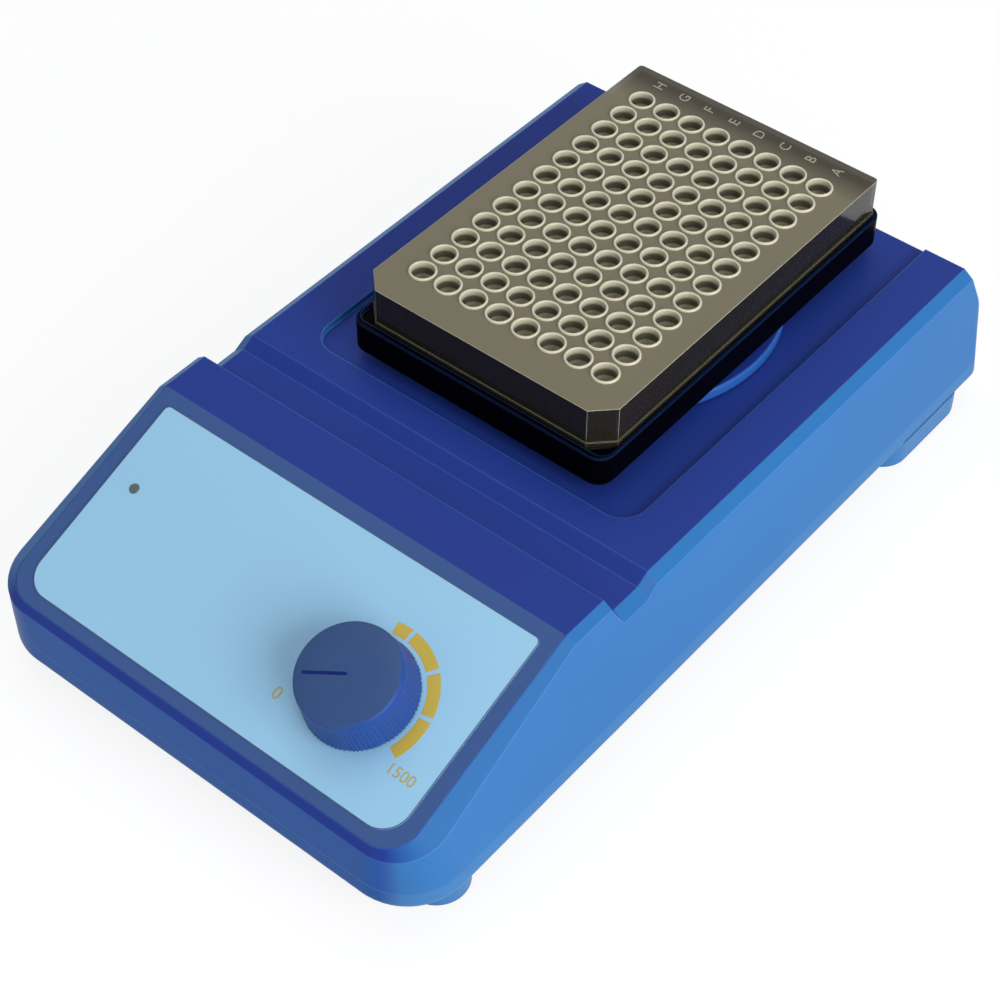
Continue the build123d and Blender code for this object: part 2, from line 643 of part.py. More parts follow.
# Screws that hold base and cover together
with BuildPart() as housing_screws:
    with BuildSketch(Plane.XY.offset(CASE_RECESS_TOP)):
        with Locations(*case_spots):
            Circle(CASE_SCREW_HEAD_R)
    extrude(amount=-CASE_SCREW_HEAD_H)
    with BuildSketch(Plane.XY.offset(CASE_RECESS_TOP)):
        with Locations(*case_spots):
            Circle(CASE_SCREW_R)
    extrude(amount=CASE_SCREW_TOP - CASE_RECESS_TOP)
    with BuildSketch(Plane.XY.offset(CASE_RECESS_TOP - CASE_SCREW_HEAD_H)):
        with Locations(*case_spots):
            RegularPolygon(CASE_SOCKET_R, 6)
    extrude(amount=CASE_SOCKET_DEEP, mode=Mode.SUBTRACT)
housing_screws.part.label = "housing_screws"
export_step(housing_screws.part, "parts/housing_screws.step")

# Label sheet on the panel
with BuildPart() as front_label:
    with BuildSketch(panel):
        with Locations((0, -LABEL_LENGTH / 2)):
            Rectangle(2 * LABEL_HALF_WIDTH, LABEL_LENGTH)
        fillet(vertices().group_by(Axis.Y)[0], LABEL_BOTTOM_R)
        fillet(vertices().group_by(Axis.Y)[-1], LABEL_TOP_R)
        with Locations((KNOB_X, -KNOB_DOWN)):
            Circle(POT_BUSH_R + SET_FIT, mode=Mode.SUBTRACT)
        with Locations((LED_X, -LED_DOWN)):
            Circle(LED_R + SET_FIT, mode=Mode.SUBTRACT)
    extrude(amount=LABEL_THICK)
front_label.part.label = "front_label"
export_step(front_label.part, "parts/front_label.step")

# Potentiometer behind the panel
with BuildPart() as potentiometer_body:
    with BuildSketch(knob_plane.offset(-WALL)):
        Circle(POT_BODY_R)
    extrude(amount=-POT_BODY_H)
    with BuildSketch(knob_plane.offset(-WALL)):
        Circle(POT_BUSH_R)
    extrude(amount=WALL + POT_BUSH_TOP)
    with BuildSketch(knob_plane.offset(-WALL - POT_BODY_H + POT_FLOOR)):
        Circle(POT_SHAFT_R + RUN_FIT)
    extrude(amount=POT_BODY_H + WALL + POT_BUSH_TOP, mode=Mode.SUBTRACT)
    with BuildSketch(knob_plane.offset(-WALL - POT_BODY_H)):
        with Locations((0, POT_BODY_R)):
            Rectangle(POT_TAB_WIDE, POT_TAB_LONG)
    extrude(amount=POT_TAB_T)
potentiometer_body.part.label = "potentiometer_body"
export_step(potentiometer_body.part, "parts/potentiometer_body.step")

with BuildPart() as potentiometer_nut:
    with BuildSketch(knob_plane.offset(LABEL_THICK)):
        RegularPolygon(POT_NUT_AF / 2, 6, major_radius=False)
        Circle(POT_BUSH_R + RUN_FIT, mode=Mode.SUBTRACT)
    extrude(amount=POT_NUT_H)
potentiometer_nut.part.label = "potentiometer_nut"
export_step(potentiometer_nut.part, "parts/potentiometer_nut.step")

with BuildPart() as potentiometer_shaft:
    with BuildSketch(knob_plane.offset(-WALL - POT_BODY_H + POT_FLOOR + SIDE_GAP)):
        Circle(POT_SHAFT_R)
    extrude(amount=WALL + POT_BODY_H - POT_FLOOR - SIDE_GAP + POT_SHAFT_TOP)
potentiometer_shaft.part.label = "potentiometer_shaft"
export_step(potentiometer_shaft.part, "parts/potentiometer_shaft.step")

# Speed knob with fluted skirt and pointer groove
with BuildPart() as speed_knob:
    with BuildSketch(knob_plane.offset(KNOB_BOTTOM)):
        Circle(KNOB_SKIRT_R)
    with BuildSketch(knob_plane.offset(KNOB_HIGH)):
        Circle(KNOB_TOP_R)
    loft(ruled=True)
    with BuildSketch(knob_plane.offset(KNOB_BOTTOM)):
        Circle(KNOB_HOLLOW_R)
    extrude(amount=KNOB_HOLLOW_TOP - KNOB_BOTTOM, mode=Mode.SUBTRACT)
    with BuildSketch(knob_plane.offset(KNOB_BOTTOM)):
        Circle(POT_SHAFT_R)
    extrude(amount=POT_SHAFT_TOP - KNOB_BOTTOM, mode=Mode.SUBTRACT)
    with BuildSketch(knob_plane.offset(KNOB_BOTTOM)):
        with PolarLocations(KNOB_SKIRT_R, KNOB_FLUTES):
            Circle(KNOB_FLUTE_R)
    extrude(amount=KNOB_HIGH - KNOB_BOTTOM - 1.5, mode=Mode.SUBTRACT)
    with BuildSketch(knob_plane.offset(KNOB_HIGH)):
        with PolarLocations(POINTER_LONG / 2, 1, start_angle=POINTER_ANGLE):
            Rectangle(POINTER_LONG, POINTER_W)
    extrude(amount=-POINTER_DEEP, mode=Mode.SUBTRACT)
speed_knob.part.label = "speed_knob"
export_step(speed_knob.part, "parts/speed_knob.step")

# Indicator lamp, level with the label, held by a ring behind the panel
with BuildPart() as led_holder:
    with BuildSketch(led_plane.offset(-WALL)):
        Circle(HOLDER_R)
        Circle(LED_R, mode=Mode.SUBTRACT)
    extrude(amount=-HOLDER_DEEP)
led_holder.part.label = "led_holder"
export_step(led_holder.part, "parts/led_holder.step")

with BuildPart() as power_led:
    with BuildSketch(led_plane.offset(-LED_DEEP)):
        Circle(LED_R)
    extrude(amount=LED_DEEP + LABEL_THICK + LED_PROUD)
    lamp_rims = power_led.edges().filter_by(GeomType.CIRCLE)
    chamfer(lamp_rims.sort_by_distance(led_plane.origin)[0], LED_EDGE)
power_led.part.label = "power_led"
export_step(power_led.part, "parts/power_led.step")

# Circuit board on the base's standoffs
with BuildPart() as control_board:
    with BuildSketch(Plane.XY.offset(BOARD_Z)):
        with Locations((0, BOARD_Y)):
            Rectangle(BOARD_WIDE, BOARD_LONG)
            with GridLocations(BOARD_WIDE - 2 * STANDOFF_INSET, BOARD_LONG - 2 * STANDOFF_INSET, 2, 2):
                Circle(BOARD_SCREW_R, mode=Mode.SUBTRACT)
    extrude(amount=BOARD_T)
control_board.part.label = "control_board"
export_step(control_board.part, "parts/control_board.step")

with BuildPart() as board_screws:
    with BuildSketch(Plane.XY.offset(BOARD_Z + BOARD_T)):
        with Locations((0, BOARD_Y)):
            with GridLocations(BOARD_WIDE - 2 * STANDOFF_INSET, BOARD_LONG - 2 * STANDOFF_INSET, 2, 2):
                Circle(BOARD_SCREW_HEAD_R)
    extrude(amount=BOARD_SCREW_HEAD_H)
    with BuildSketch(Plane.XY.offset(BOARD_Z + BOARD_T)):
        with Locations((0, BOARD_Y)):
            with GridLocations(BOARD_WIDE - 2 * STANDOFF_INSET, BOARD_LONG - 2 * STANDOFF_INSET, 2, 2):
                Circle(BOARD_SCREW_R)
    extrude(amount=-BOARD_T)
board_screws.part.label = "board_screws"
export_step(board_screws.part, "parts/board_screws.step")

# Sockets, capacitors, controller and choke on the board
board_top = BOARD_Z + BOARD_T
with BuildPart() as board_parts:
    with BuildSketch(Plane.XY.offset(board_top)):
        with Locations(*[(socket_x, SOCKET_Y) for socket_x in SOCKET_X]):
            Rectangle(SOCKET_WIDE, SOCKET_LONG)
        with Locations((RELAY_X, RELAY_Y), (-RELAY_X, RELAY_Y)):
            Rectangle(SOCKET_WIDE, SOCKET_LONG)
    extrude(amount=SOCKET_TOP - board_top)
    with BuildSketch(Plane.XY.offset(board_top)):
        with Locations(*[(CAPACITOR_X, capacitor_y) for capacitor_y in CAPACITOR_Y]):
            Circle(CAPACITOR_R)
    extrude(amount=CAPACITOR_HIGH)
    with BuildSketch(Plane.XY.offset(board_top)):
        with Locations((CHIP_X, CHIP_Y)):
            Rectangle(CHIP_SIDE, CHIP_SIDE)
        with Locations(*[(DRIVER_X, driver_y) for driver_y in DRIVER_Y]):
            Rectangle(DRIVER_WIDE, DRIVER_LONG)
    extrude(amount=CHIP_HIGH)
board_parts.part.label = "board_parts"
export_step(board_parts.part, "parts/board_parts.step")

# Ballast on the base floor
with BuildPart() as ballast_plate:
    with BuildSketch(Plane.XY.offset(FLOOR_Z)):
        with Locations((0, BALLAST_Y)):
            Rectangle(BALLAST_WIDE, BALLAST_LONG)
        chamfer(vertices(), BALLAST_CHAMFER)
    extrude(amount=BALLAST_T)
ballast_plate.part.label = "ballast_plate"
export_step(ballast_plate.part, "parts/ballast_plate.step")

# Drive plate on four posts
with BuildPart() as drive_plate:
    with BuildSketch(Plane.XY.offset(PLATE_Z)):
        with Locations((0, AXIS_Y)):
            Rectangle(PLATE_X, PLATE_LONG)
            Circle(BUSH_R + 1.0, mode=Mode.SUBTRACT)
            with PolarLocations(IDLER_PITCH_R, 3, start_angle=90):
                Circle(IDLER_BUSH_R, mode=Mode.SUBTRACT)
            with PolarLocations(MOTOR_SCREW_PITCH_R, 4, start_angle=45):
                Circle(POST_SCREW_R + SET_FIT, mode=Mode.SUBTRACT)
        fillet(vertices().group_by(Axis.Y)[0] + vertices().group_by(Axis.Y)[-1], DRIVE_CORNER_R)
        with Locations(*post_spots):
            Circle(POST_SCREW_R + SET_FIT, mode=Mode.SUBTRACT)
    extrude(amount=PLATE_THICK)
    with Locations(Plane(origin=(0, AXIS_Y, PLATE_TOP))):
        with PolarLocations(MOTOR_SCREW_PITCH_R, 4, start_angle=45):
            CounterSinkHole(POST_SCREW_R + SET_FIT, MOTOR_SCREW_HEAD_R + SET_FIT, PLATE_THICK, 90)
drive_plate.part.label = "drive_plate"
export_step(drive_plate.part, "parts/drive_plate.step")

with BuildPart() as drive_plate_screws:
    with BuildSketch(Plane.XY.offset(PLATE_TOP)):
        with Locations(*post_spots):
            Circle(POST_SCREW_HEAD_R)
    extrude(amount=POST_SCREW_HEAD_H)
    with BuildSketch(Plane.XY.offset(PLATE_TOP)):
        with Locations(*post_spots):
            Circle(POST_SCREW_R)
    extrude(amount=-(POST_SCREW_LONG + PLATE_THICK - 1))
drive_plate_screws.part.label = "drive_plate_screws"
export_step(drive_plate_screws.part, "parts/drive_plate_screws.step")

# Motor hung under the drive plate
axis_plane = Plane(origin=(0, AXIS_Y, 0))
with BuildPart() as motor_can:
    with BuildSketch(axis_plane.offset(MOTOR_Z)):
        Circle(MOTOR_R)
    extrude(amount=PLATE_Z - MOTOR_Z)
    with BuildSketch(axis_plane.offset(MOTOR_Z + MOTOR_WALL)):
        Circle(MOTOR_R - MOTOR_WALL)
    extrude(amount=PLATE_Z - MOTOR_TOP_T - MOTOR_Z - MOTOR_WALL, mode=Mode.SUBTRACT)
    with BuildSketch(axis_plane.offset(MOTOR_Z)):
        Circle(BUSH_R)
    extrude(amount=PLATE_Z - MOTOR_Z, mode=Mode.SUBTRACT)
    with BuildSketch(axis_plane.offset(PLATE_Z)):
        with PolarLocations(MOTOR_SCREW_PITCH_R, 4, start_angle=45):
            Circle(POST_SCREW_R)
    extrude(amount=-MOTOR_TOP_T, mode=Mode.SUBTRACT)
    with BuildSketch(Plane.XY.offset(MOTOR_Z + MERGE)):
        with Locations((0, AXIS_Y - MOTOR_R)):
            Rectangle(MOTOR_PLUG_WIDE, 2 * MOTOR_PLUG_OUT)
    extrude(amount=MOTOR_PLUG_HIGH)
    with BuildSketch(axis_plane.offset(MOTOR_Z + MOTOR_WALL)):
        Circle(MOTOR_R - MOTOR_WALL)
    extrude(amount=MOTOR_PLUG_HIGH, mode=Mode.SUBTRACT)
motor_can.part.label = "motor_can"
export_step(motor_can.part, "parts/motor_can.step")

with BuildPart() as motor_stator:
    with BuildSketch(axis_plane.offset(ROTOR_Z1)):
        Circle(MOTOR_R - MOTOR_WALL)
        Circle(STATOR_IN_R, mode=Mode.SUBTRACT)
        with PolarLocations(STATOR_IN_R + STATOR_SLOT_IN, STATOR_SLOTS):
            Circle(STATOR_SLOT_R, mode=Mode.SUBTRACT)
    extrude(amount=ROTOR_Z2 - ROTOR_Z1)
motor_stator.part.label = "motor_stator"
export_step(motor_stator.part, "parts/motor_stator.step")

with BuildPart() as motor_rotor:
    with BuildSketch(axis_plane.offset(ROTOR_Z1)):
        Circle(ROTOR_R)
        Circle(SHAFT_R, mode=Mode.SUBTRACT)
    extrude(amount=ROTOR_Z2 - ROTOR_Z1)
motor_rotor.part.label = "motor_rotor"
export_step(motor_rotor.part, "parts/motor_rotor.step")

with BuildPart() as motor_bushes:
    with BuildSketch(axis_plane.offset(MOTOR_Z)):
        Circle(BUSH_R)
    extrude(amount=MOTOR_WALL)
    with BuildSketch(axis_plane.offset(PLATE_Z - MOTOR_TOP_T)):
        Circle(BUSH_R)
    extrude(amount=PLATE_TOP - PLATE_Z + MOTOR_TOP_T)
    with BuildSketch(axis_plane.offset(MOTOR_Z + 0.8)):
        Circle(SHAFT_R + RUN_FIT)
    extrude(amount=PLATE_TOP, mode=Mode.SUBTRACT)
motor_bushes.part.label = "motor_bushes"
export_step(motor_bushes.part, "parts/motor_bushes.step")

with BuildPart() as motor_screws:
    with BuildSketch(axis_plane.offset(PLATE_TOP)):
        with PolarLocations(MOTOR_SCREW_PITCH_R, 4, start_angle=45):
            Circle(MOTOR_SCREW_HEAD_R)
    extrude(amount=-(MOTOR_SCREW_HEAD_R - POST_SCREW_R), taper=45)
    with BuildSketch(axis_plane.offset(PLATE_TOP - 0.5)):
        with PolarLocations(MOTOR_SCREW_PITCH_R, 4, start_angle=45):
            Circle(POST_SCREW_R)
    extrude(amount=-(PLATE_THICK + MOTOR_TOP_T - 1))
motor_screws.part.label = "motor_screws"
export_step(motor_screws.part, "parts/motor_screws.step")

with BuildPart() as motor_shaft:
    with BuildSketch(axis_plane.offset(SHAFT_Z1)):
        Circle(SHAFT_R)
    extrude(amount=SHAFT_Z2 - SHAFT_Z1)
motor_shaft.part.label = "motor_shaft"
export_step(motor_shaft.part, "parts/motor_shaft.step")

# Crank with its offset pin, counterweight and grub screw
head_plane = Plane(origin=(0, HEAD_Y, 0))
BEARING_Z = CRANK_Z2 + CRANK_SHOULDER_H
with BuildPart() as drive_crank:
    with BuildSketch(axis_plane.offset(CRANK_Z1)):
        Circle(CRANK_R)
    extrude(amount=CRANK_Z2 - CRANK_Z1)
    with BuildSketch(head_plane.offset(CRANK_Z2)):
        Circle(CRANK_SHOULDER_R)
    extrude(amount=CRANK_SHOULDER_H)
    with BuildSketch(head_plane.offset(BEARING_Z)):
        Circle(CRANK_PIN_R)
    extrude(amount=BEARING_H)
    with BuildSketch(axis_plane.offset(CRANK_Z1)):
        Circle(SHAFT_R)
    extrude(amount=SHAFT_Z2 - CRANK_Z1, mode=Mode.SUBTRACT)
    with BuildSketch(Plane(origin=(SHAFT_R - 1, AXIS_Y, GRUB_Z), z_dir=(1, 0, 0))):
        Circle(GRUB_R)
    extrude(amount=CRANK_R, mode=Mode.SUBTRACT)
drive_crank.part.label = "drive_crank"
export_step(drive_crank.part, "parts/drive_crank.step")

with BuildPart() as crank_grub_screw:
    with BuildSketch(Plane(origin=(SHAFT_R + SET_FIT, AXIS_Y, GRUB_Z), z_dir=(1, 0, 0))):
        Circle(GRUB_R)
    extrude(amount=CRANK_R - SHAFT_R - GRUB_SET_BACK)
    with BuildSketch(Plane(origin=(CRANK_R - GRUB_SET_BACK + SET_FIT, AXIS_Y, GRUB_Z), z_dir=(1, 0, 0))):
        RegularPolygon(GRUB_SOCKET_R, 6)
    extrude(amount=-GRUB_SOCKET_DEEP, mode=Mode.SUBTRACT)
crank_grub_screw.part.label = "crank_grub_screw"
export_step(crank_grub_screw.part, "parts/crank_grub_screw.step")

with BuildPart() as crank_counterweight:
    with BuildSketch(axis_plane.offset(COUNTER_Z1)):
        Circle(COUNTER_R)
        with Locations((0, COUNTER_R)):
            Rectangle(3 * COUNTER_R, 2 * (COUNTER_R + COUNTER_CUT), mode=Mode.SUBTRACT)
        Circle(CRANK_R, mode=Mode.SUBTRACT)
    extrude(amount=COUNTER_Z2 - COUNTER_Z1)
crank_counterweight.part.label = "crank_counterweight"
export_step(crank_counterweight.part, "parts/crank_counterweight.step")

# Ball bearing between the crank's pin and the head
bearing_middle = BEARING_Z + BEARING_H / 2
with BuildPart() as head_bearing_inner:
    with BuildSketch(head_plane.offset(BEARING_Z)):
        Circle(RACE_IN_R)
        Circle(CRANK_PIN_R, mode=Mode.SUBTRACT)
    extrude(amount=BEARING_H)
    with Locations((0, HEAD_Y, bearing_middle)):
        Torus(GROOVE_PITCH_R, GROOVE_R, mode=Mode.SUBTRACT)
head_bearing_inner.part.label = "head_bearing_inner"
export_step(head_bearing_inner.part, "parts/head_bearing_inner.step")

with BuildPart() as head_bearing_outer:
    with BuildSketch(head_plane.offset(BEARING_Z)):
        Circle(BEARING_R)
        Circle(RACE_OUT_R, mode=Mode.SUBTRACT)
    extrude(amount=BEARING_H)
    with Locations((0, HEAD_Y, bearing_middle)):
        Torus(GROOVE_PITCH_R, GROOVE_R, mode=Mode.SUBTRACT)
head_bearing_outer.part.label = "head_bearing_outer"
export_step(head_bearing_outer.part, "parts/head_bearing_outer.step")

with BuildPart() as head_bearing_balls:
    with Locations((0, HEAD_Y, bearing_middle)):
        with PolarLocations(BALL_PITCH_R, BALL_COUNT):
            Sphere(BALL_R)
head_bearing_balls.part.label = "head_bearing_balls"
export_step(head_bearing_balls.part, "parts/head_bearing_balls.step")

# Idler bushes in the drive plate
with BuildPart() as idler_bushes:
    with BuildSketch(axis_plane.offset(PLATE_Z - IDLER_BUSH_LOW)):
        with PolarLocations(IDLER_PITCH_R, 3, start_angle=90):
            Circle(IDLER_BUSH_R)
    extrude(amount=PLATE_THICK + IDLER_BUSH_LOW)
    with BuildSketch(axis_plane.offset(PLATE_TOP)):
        with PolarLocations(IDLER_PITCH_R, 3, start_angle=90):
            Circle(IDLER_FLANGE_R)
    extrude(amount=IDLER_FLANGE_H)
    with BuildSketch(axis_plane.offset(PLATE_Z - IDLER_BUSH_LOW)):
        with PolarLocations(IDLER_PITCH_R, 3, start_angle=90):
            Circle(IDLER_JOURNAL_R + RUN_FIT)
    extrude(amount=IDLER_BUSH_LOW + PLATE_THICK + IDLER_FLANGE_H, mode=Mode.SUBTRACT)
idler_bushes.part.label = "idler_bushes"
export_step(idler_bushes.part, "parts/idler_bushes.step")

# The three idler cranks: a journal below, a web and an offset pin above
idler_ring = PolarLocations(IDLER_PITCH_R, 3, start_angle=90)
idler_spots = [axis_plane.location * spot for spot in idler_ring.locations]
IDLER_CLIP_Z = PLATE_Z - IDLER_BUSH_LOW - CLIP_GAP - CLIP_T
for number, spot in enumerate(idler_spots, start=1):
    low = Plane(origin=(spot.position.X, spot.position.Y, 0))
    high = Plane(origin=(spot.position.X, spot.position.Y + ORBIT_R, 0))
    with BuildPart() as idler:
        with BuildSketch(low.offset(IDLER_BOTTOM_Z)):
            Circle(IDLER_JOURNAL_R)
        extrude(amount=IDLER_WEB_Z1 - IDLER_BOTTOM_Z)
        with BuildSketch(low.offset(IDLER_WEB_Z1)):
            Circle(IDLER_WEB_R)
        extrude(amount=IDLER_WEB_Z2 - IDLER_WEB_Z1)
        with BuildSketch(high.offset(IDLER_WEB_Z2)):
            Circle(IDLER_PIN_R)
        extrude(amount=IDLER_PIN_TOP - IDLER_WEB_Z2)
        with BuildSketch(low.offset(IDLER_CLIP_Z)):
            Circle(IDLER_JOURNAL_R + 1)
            Circle(CLIP_GROOVE_R, mode=Mode.SUBTRACT)
        extrude(amount=CLIP_T, mode=Mode.SUBTRACT)
    idler.part.label = f"idler_{number}"
    export_step(idler.part, f"parts/idler_{number}.step")
    with BuildPart() as clip:
        with BuildSketch(low.offset(IDLER_CLIP_Z)):
            Circle(CLIP_R)
            Circle(CLIP_GROOVE_R, mode=Mode.SUBTRACT)
            with Locations((0, CLIP_R)):
                Rectangle(CLIP_MOUTH, 2 * CLIP_R, mode=Mode.SUBTRACT)
        extrude(amount=CLIP_T)
    clip.part.label = f"idler_clip_{number}"
    export_step(clip.part, f"parts/idler_clip_{number}.step")

# Shaker head: disc, hub with the bearing seat, three bosses joined by ribs
with BuildPart() as shaker_head:
    with BuildSketch(head_plane.offset(DISC_Z1)):
        Circle(DISC_R)
    extrude(amount=DISC_Z2 - DISC_Z1)
    fillet(shaker_head.faces().sort_by(Axis.Z)[-1].edges(), DISC_EDGE_R)
    with BuildSketch(head_plane.offset(HUB_Z)):
        Circle(HUB_R)
    extrude(amount=DISC_Z1 - HUB_Z)
    with BuildSketch(head_plane.offset(HEAD_BOSS_Z)):
        with PolarLocations(IDLER_PITCH_R, 3, start_angle=90):
            Circle(HEAD_BOSS_R)
    extrude(amount=DISC_Z1 - HEAD_BOSS_Z)
    with BuildSketch(head_plane.offset(HEAD_RIB_Z)):
        with PolarLocations((HUB_R + IDLER_PITCH_R) / 2, 3, start_angle=90):
            Rectangle(IDLER_PITCH_R - HUB_R + 2, HEAD_RIB_T)
        with GridLocations(TRAY_SCREW_PITCH, TRAY_SCREW_PITCH, 2, 2):
            Circle(TRAY_SCREW_BOSS_R)
    extrude(amount=DISC_Z1 - HEAD_RIB_Z)
    with BuildSketch(head_plane.offset(HUB_Z)):
        Circle(BEARING_R)
    extrude(amount=BEARING_Z + BEARING_H - HUB_Z, mode=Mode.SUBTRACT)
    with BuildSketch(head_plane.offset(BEARING_Z + BEARING_H)):
        Circle(RACE_OUT_R)
    extrude(amount=1, mode=Mode.SUBTRACT)
    with BuildSketch(head_plane.offset(HEAD_BOSS_Z)):
        with PolarLocations(IDLER_PITCH_R, 3, start_angle=90):
            Circle(HEAD_BUSH_R)
    extrude(amount=IDLER_PIN_TOP + HEAD_BUSH_ROOM - HEAD_BOSS_Z, mode=Mode.SUBTRACT)
    with BuildSketch(head_plane.offset(HEAD_RIB_Z)):
        with GridLocations(TRAY_SCREW_PITCH, TRAY_SCREW_PITCH, 2, 2):
            Circle(TRAY_SCREW_R)
    extrude(amount=DISC_Z2 - HEAD_RIB_Z, mode=Mode.SUBTRACT)
shaker_head.part.label = "shaker_head"
export_step(shaker_head.part, "parts/shaker_head.step")

# Wide bushes in the head's bosses: the idler pins turn in them with clearance
with BuildPart() as head_bushes:
    with BuildSketch(head_plane.offset(HEAD_BOSS_Z)):
        with PolarLocations(IDLER_PITCH_R, 3, start_angle=90):
            Circle(HEAD_BUSH_R)
            Circle(IDLER_PIN_R + SIDE_GAP, mode=Mode.SUBTRACT)
    extrude(amount=IDLER_PIN_TOP + HEAD_BUSH_ROOM - HEAD_BOSS_Z)
head_bushes.part.label = "head_bushes"
export_step(head_bushes.part, "parts/head_bushes.step")

# Tray with a nest for the plate
with BuildPart() as plate_tray:
    with BuildSketch(head_plane.offset(DISC_Z2)):
        RectangleRounded(TRAY_WIDE, TRAY_LONG, TRAY_CORNER_R)
    extrude(amount=TRAY_TOP - DISC_Z2)
    fillet(plate_tray.faces().sort_by(Axis.Z)[-1].edges(), TRAY_RIM_R)
    fillet(plate_tray.faces().sort_by(Axis.Z)[0].edges(), TRAY_FOOT_R)
    with BuildSketch(head_plane.offset(NEST_Z)):
        RectangleRounded(NEST_WIDE, NEST_LONG, NEST_CORNER_R)
    extrude(amount=TRAY_TOP - NEST_Z, mode=Mode.SUBTRACT)
    with BuildSketch(head_plane.offset(DISC_Z2)):
        Rectangle(TRAY_WIDE - 2 * TRAY_SKIN, TRAY_LONG - 2 * TRAY_SKIN)
        fillet(vertices(), TRAY_CORNER_R - TRAY_SKIN)
        Rectangle(TRAY_CORE, TRAY_CORE, mode=Mode.SUBTRACT)
    extrude(amount=NEST_Z - TRAY_SKIN - DISC_Z2, mode=Mode.SUBTRACT)
    with Locations(head_plane.offset(NEST_Z)):
        with GridLocations(TRAY_SCREW_PITCH, TRAY_SCREW_PITCH, 2, 2):
            CounterSinkHole(TRAY_SCREW_R + SET_FIT, TRAY_SCREW_HEAD_R + TRAY_SCREW_SUNK, TRAY_DEPTH, 90)
plate_tray.part.label = "plate_tray"
export_step(plate_tray.part, "parts/plate_tray.step")

with BuildPart() as tray_screws:
    with BuildSketch(head_plane.offset(NEST_Z - TRAY_SCREW_SUNK)):
        with GridLocations(TRAY_SCREW_PITCH, TRAY_SCREW_PITCH, 2, 2):
            Circle(TRAY_SCREW_HEAD_R)
    extrude(amount=-(TRAY_SCREW_HEAD_R - TRAY_SCREW_R), taper=45)
    with BuildSketch(head_plane.offset(NEST_Z - 1)):
        with GridLocations(TRAY_SCREW_PITCH, TRAY_SCREW_PITCH, 2, 2):
            Circle(TRAY_SCREW_R)
    extrude(amount=-(NEST_Z - 1 - TRAY_SCREW_Z))
    with BuildSketch(head_plane.offset(NEST_Z - TRAY_SCREW_SUNK)):
        with GridLocations(TRAY_SCREW_PITCH, TRAY_SCREW_PITCH, 2, 2):
            RegularPolygon(TRAY_SOCKET_R, 6)
    extrude(amount=-TRAY_SOCKET_DEEP, mode=Mode.SUBTRACT)
tray_screws.part.label = "tray_screws"
export_step(tray_screws.part, "parts/tray_screws.step")

# Clear 96-well plate
MP_TOP = NEST_Z + MP_HIGH
deck_z = MP_TOP - MP_DECK_DROP - MP_DECK_T
with BuildPart() as microplate:
    with BuildSketch(head_plane.offset(NEST_Z)):
        Rectangle(MP_WIDE, MP_LONG)
        chamfer(vertices().group_by(Axis.Y)[0], MP_CHAMFER)
        fillet(vertices().group_by(Axis.Y)[-1], MP_CORNER_R)
        offset(amount=-MP_INSET - MP_WALL, kind=Kind.INTERSECTION, mode=Mode.SUBTRACT)
    extrude(amount=MP_FLANGE_H)
    with BuildSketch(head_plane.offset(NEST_Z)):
        Rectangle(MP_WIDE - 2 * MP_INSET, MP_LONG - 2 * MP_INSET)
        chamfer(vertices().group_by(Axis.Y)[0], MP_CHAMFER)
        fillet(vertices().group_by(Axis.Y)[-1], MP_CORNER_R)
        offset(amount=-MP_WALL, kind=Kind.INTERSECTION, mode=Mode.SUBTRACT)
    extrude(amount=MP_HIGH)
    with BuildSketch(head_plane.offset(deck_z)):
        Rectangle(MP_WIDE - 2 * MP_INSET - MP_WALL, MP_LONG - 2 * MP_INSET - MP_WALL)
        chamfer(vertices().group_by(Axis.Y)[0], MP_CHAMFER)
        fillet(vertices().group_by(Axis.Y)[-1], MP_CORNER_R)
    extrude(amount=MP_DECK_T)
    with BuildSketch(head_plane.offset(MP_TOP - WELL_DEPTH - WELL_FLOOR)):
        with GridLocations(WELL_PITCH, WELL_PITCH, 8, 12):
            Circle(WELL_OUT_R)
    extrude(amount=WELL_DEPTH + WELL_FLOOR)
    with BuildSketch(head_plane.offset(MP_TOP - WELL_DEPTH)):
        with GridLocations(WELL_PITCH, WELL_PITCH, 8, 12):
            Circle(WELL_IN_R)
    extrude(amount=WELL_DEPTH, mode=Mode.SUBTRACT)
microplate.part.label = "microplate"
export_step(microplate.part, "parts/microplate.step")

# Low voltage socket in the rear recess
with BuildPart() as power_jack:
    with BuildSketch(rear_plane.offset(-RECESS_WALL)):
        with Locations((-JACK_X, 0)):
            Rectangle(2 * JACK_BODY_HALF, 2 * JACK_BODY_HALF)
    extrude(amount=-(RECESS_FLOOR_Y - RECESS_WALL - JACK_BODY_Y))
    with BuildSketch(rear_plane.offset(-RECESS_WALL)):
        with Locations((-JACK_X, 0)):
            Circle(JACK_BARREL_R)
    extrude(amount=JACK_END_Y - RECESS_FLOOR_Y + RECESS_WALL)
    with BuildSketch(rear_plane.offset(JACK_END_Y - RECESS_FLOOR_Y)):
        with Locations((-JACK_X, 0)):
            Circle(JACK_BORE_R)
    extrude(amount=-JACK_BORE_DEEP, mode=Mode.SUBTRACT)
power_jack.part.label = "power_jack"
export_step(power_jack.part, "parts/power_jack.step")

with BuildPart() as jack_pin:
    with BuildSketch(rear_plane.offset(JACK_END_Y - RECESS_FLOOR_Y - JACK_BORE_DEEP)):
        with Locations((-JACK_X, 0)):
            Circle(JACK_PIN_R)
    extrude(amount=JACK_PIN_LONG)
jack_pin.part.label = "jack_pin"
export_step(jack_pin.part, "parts/jack_pin.step")

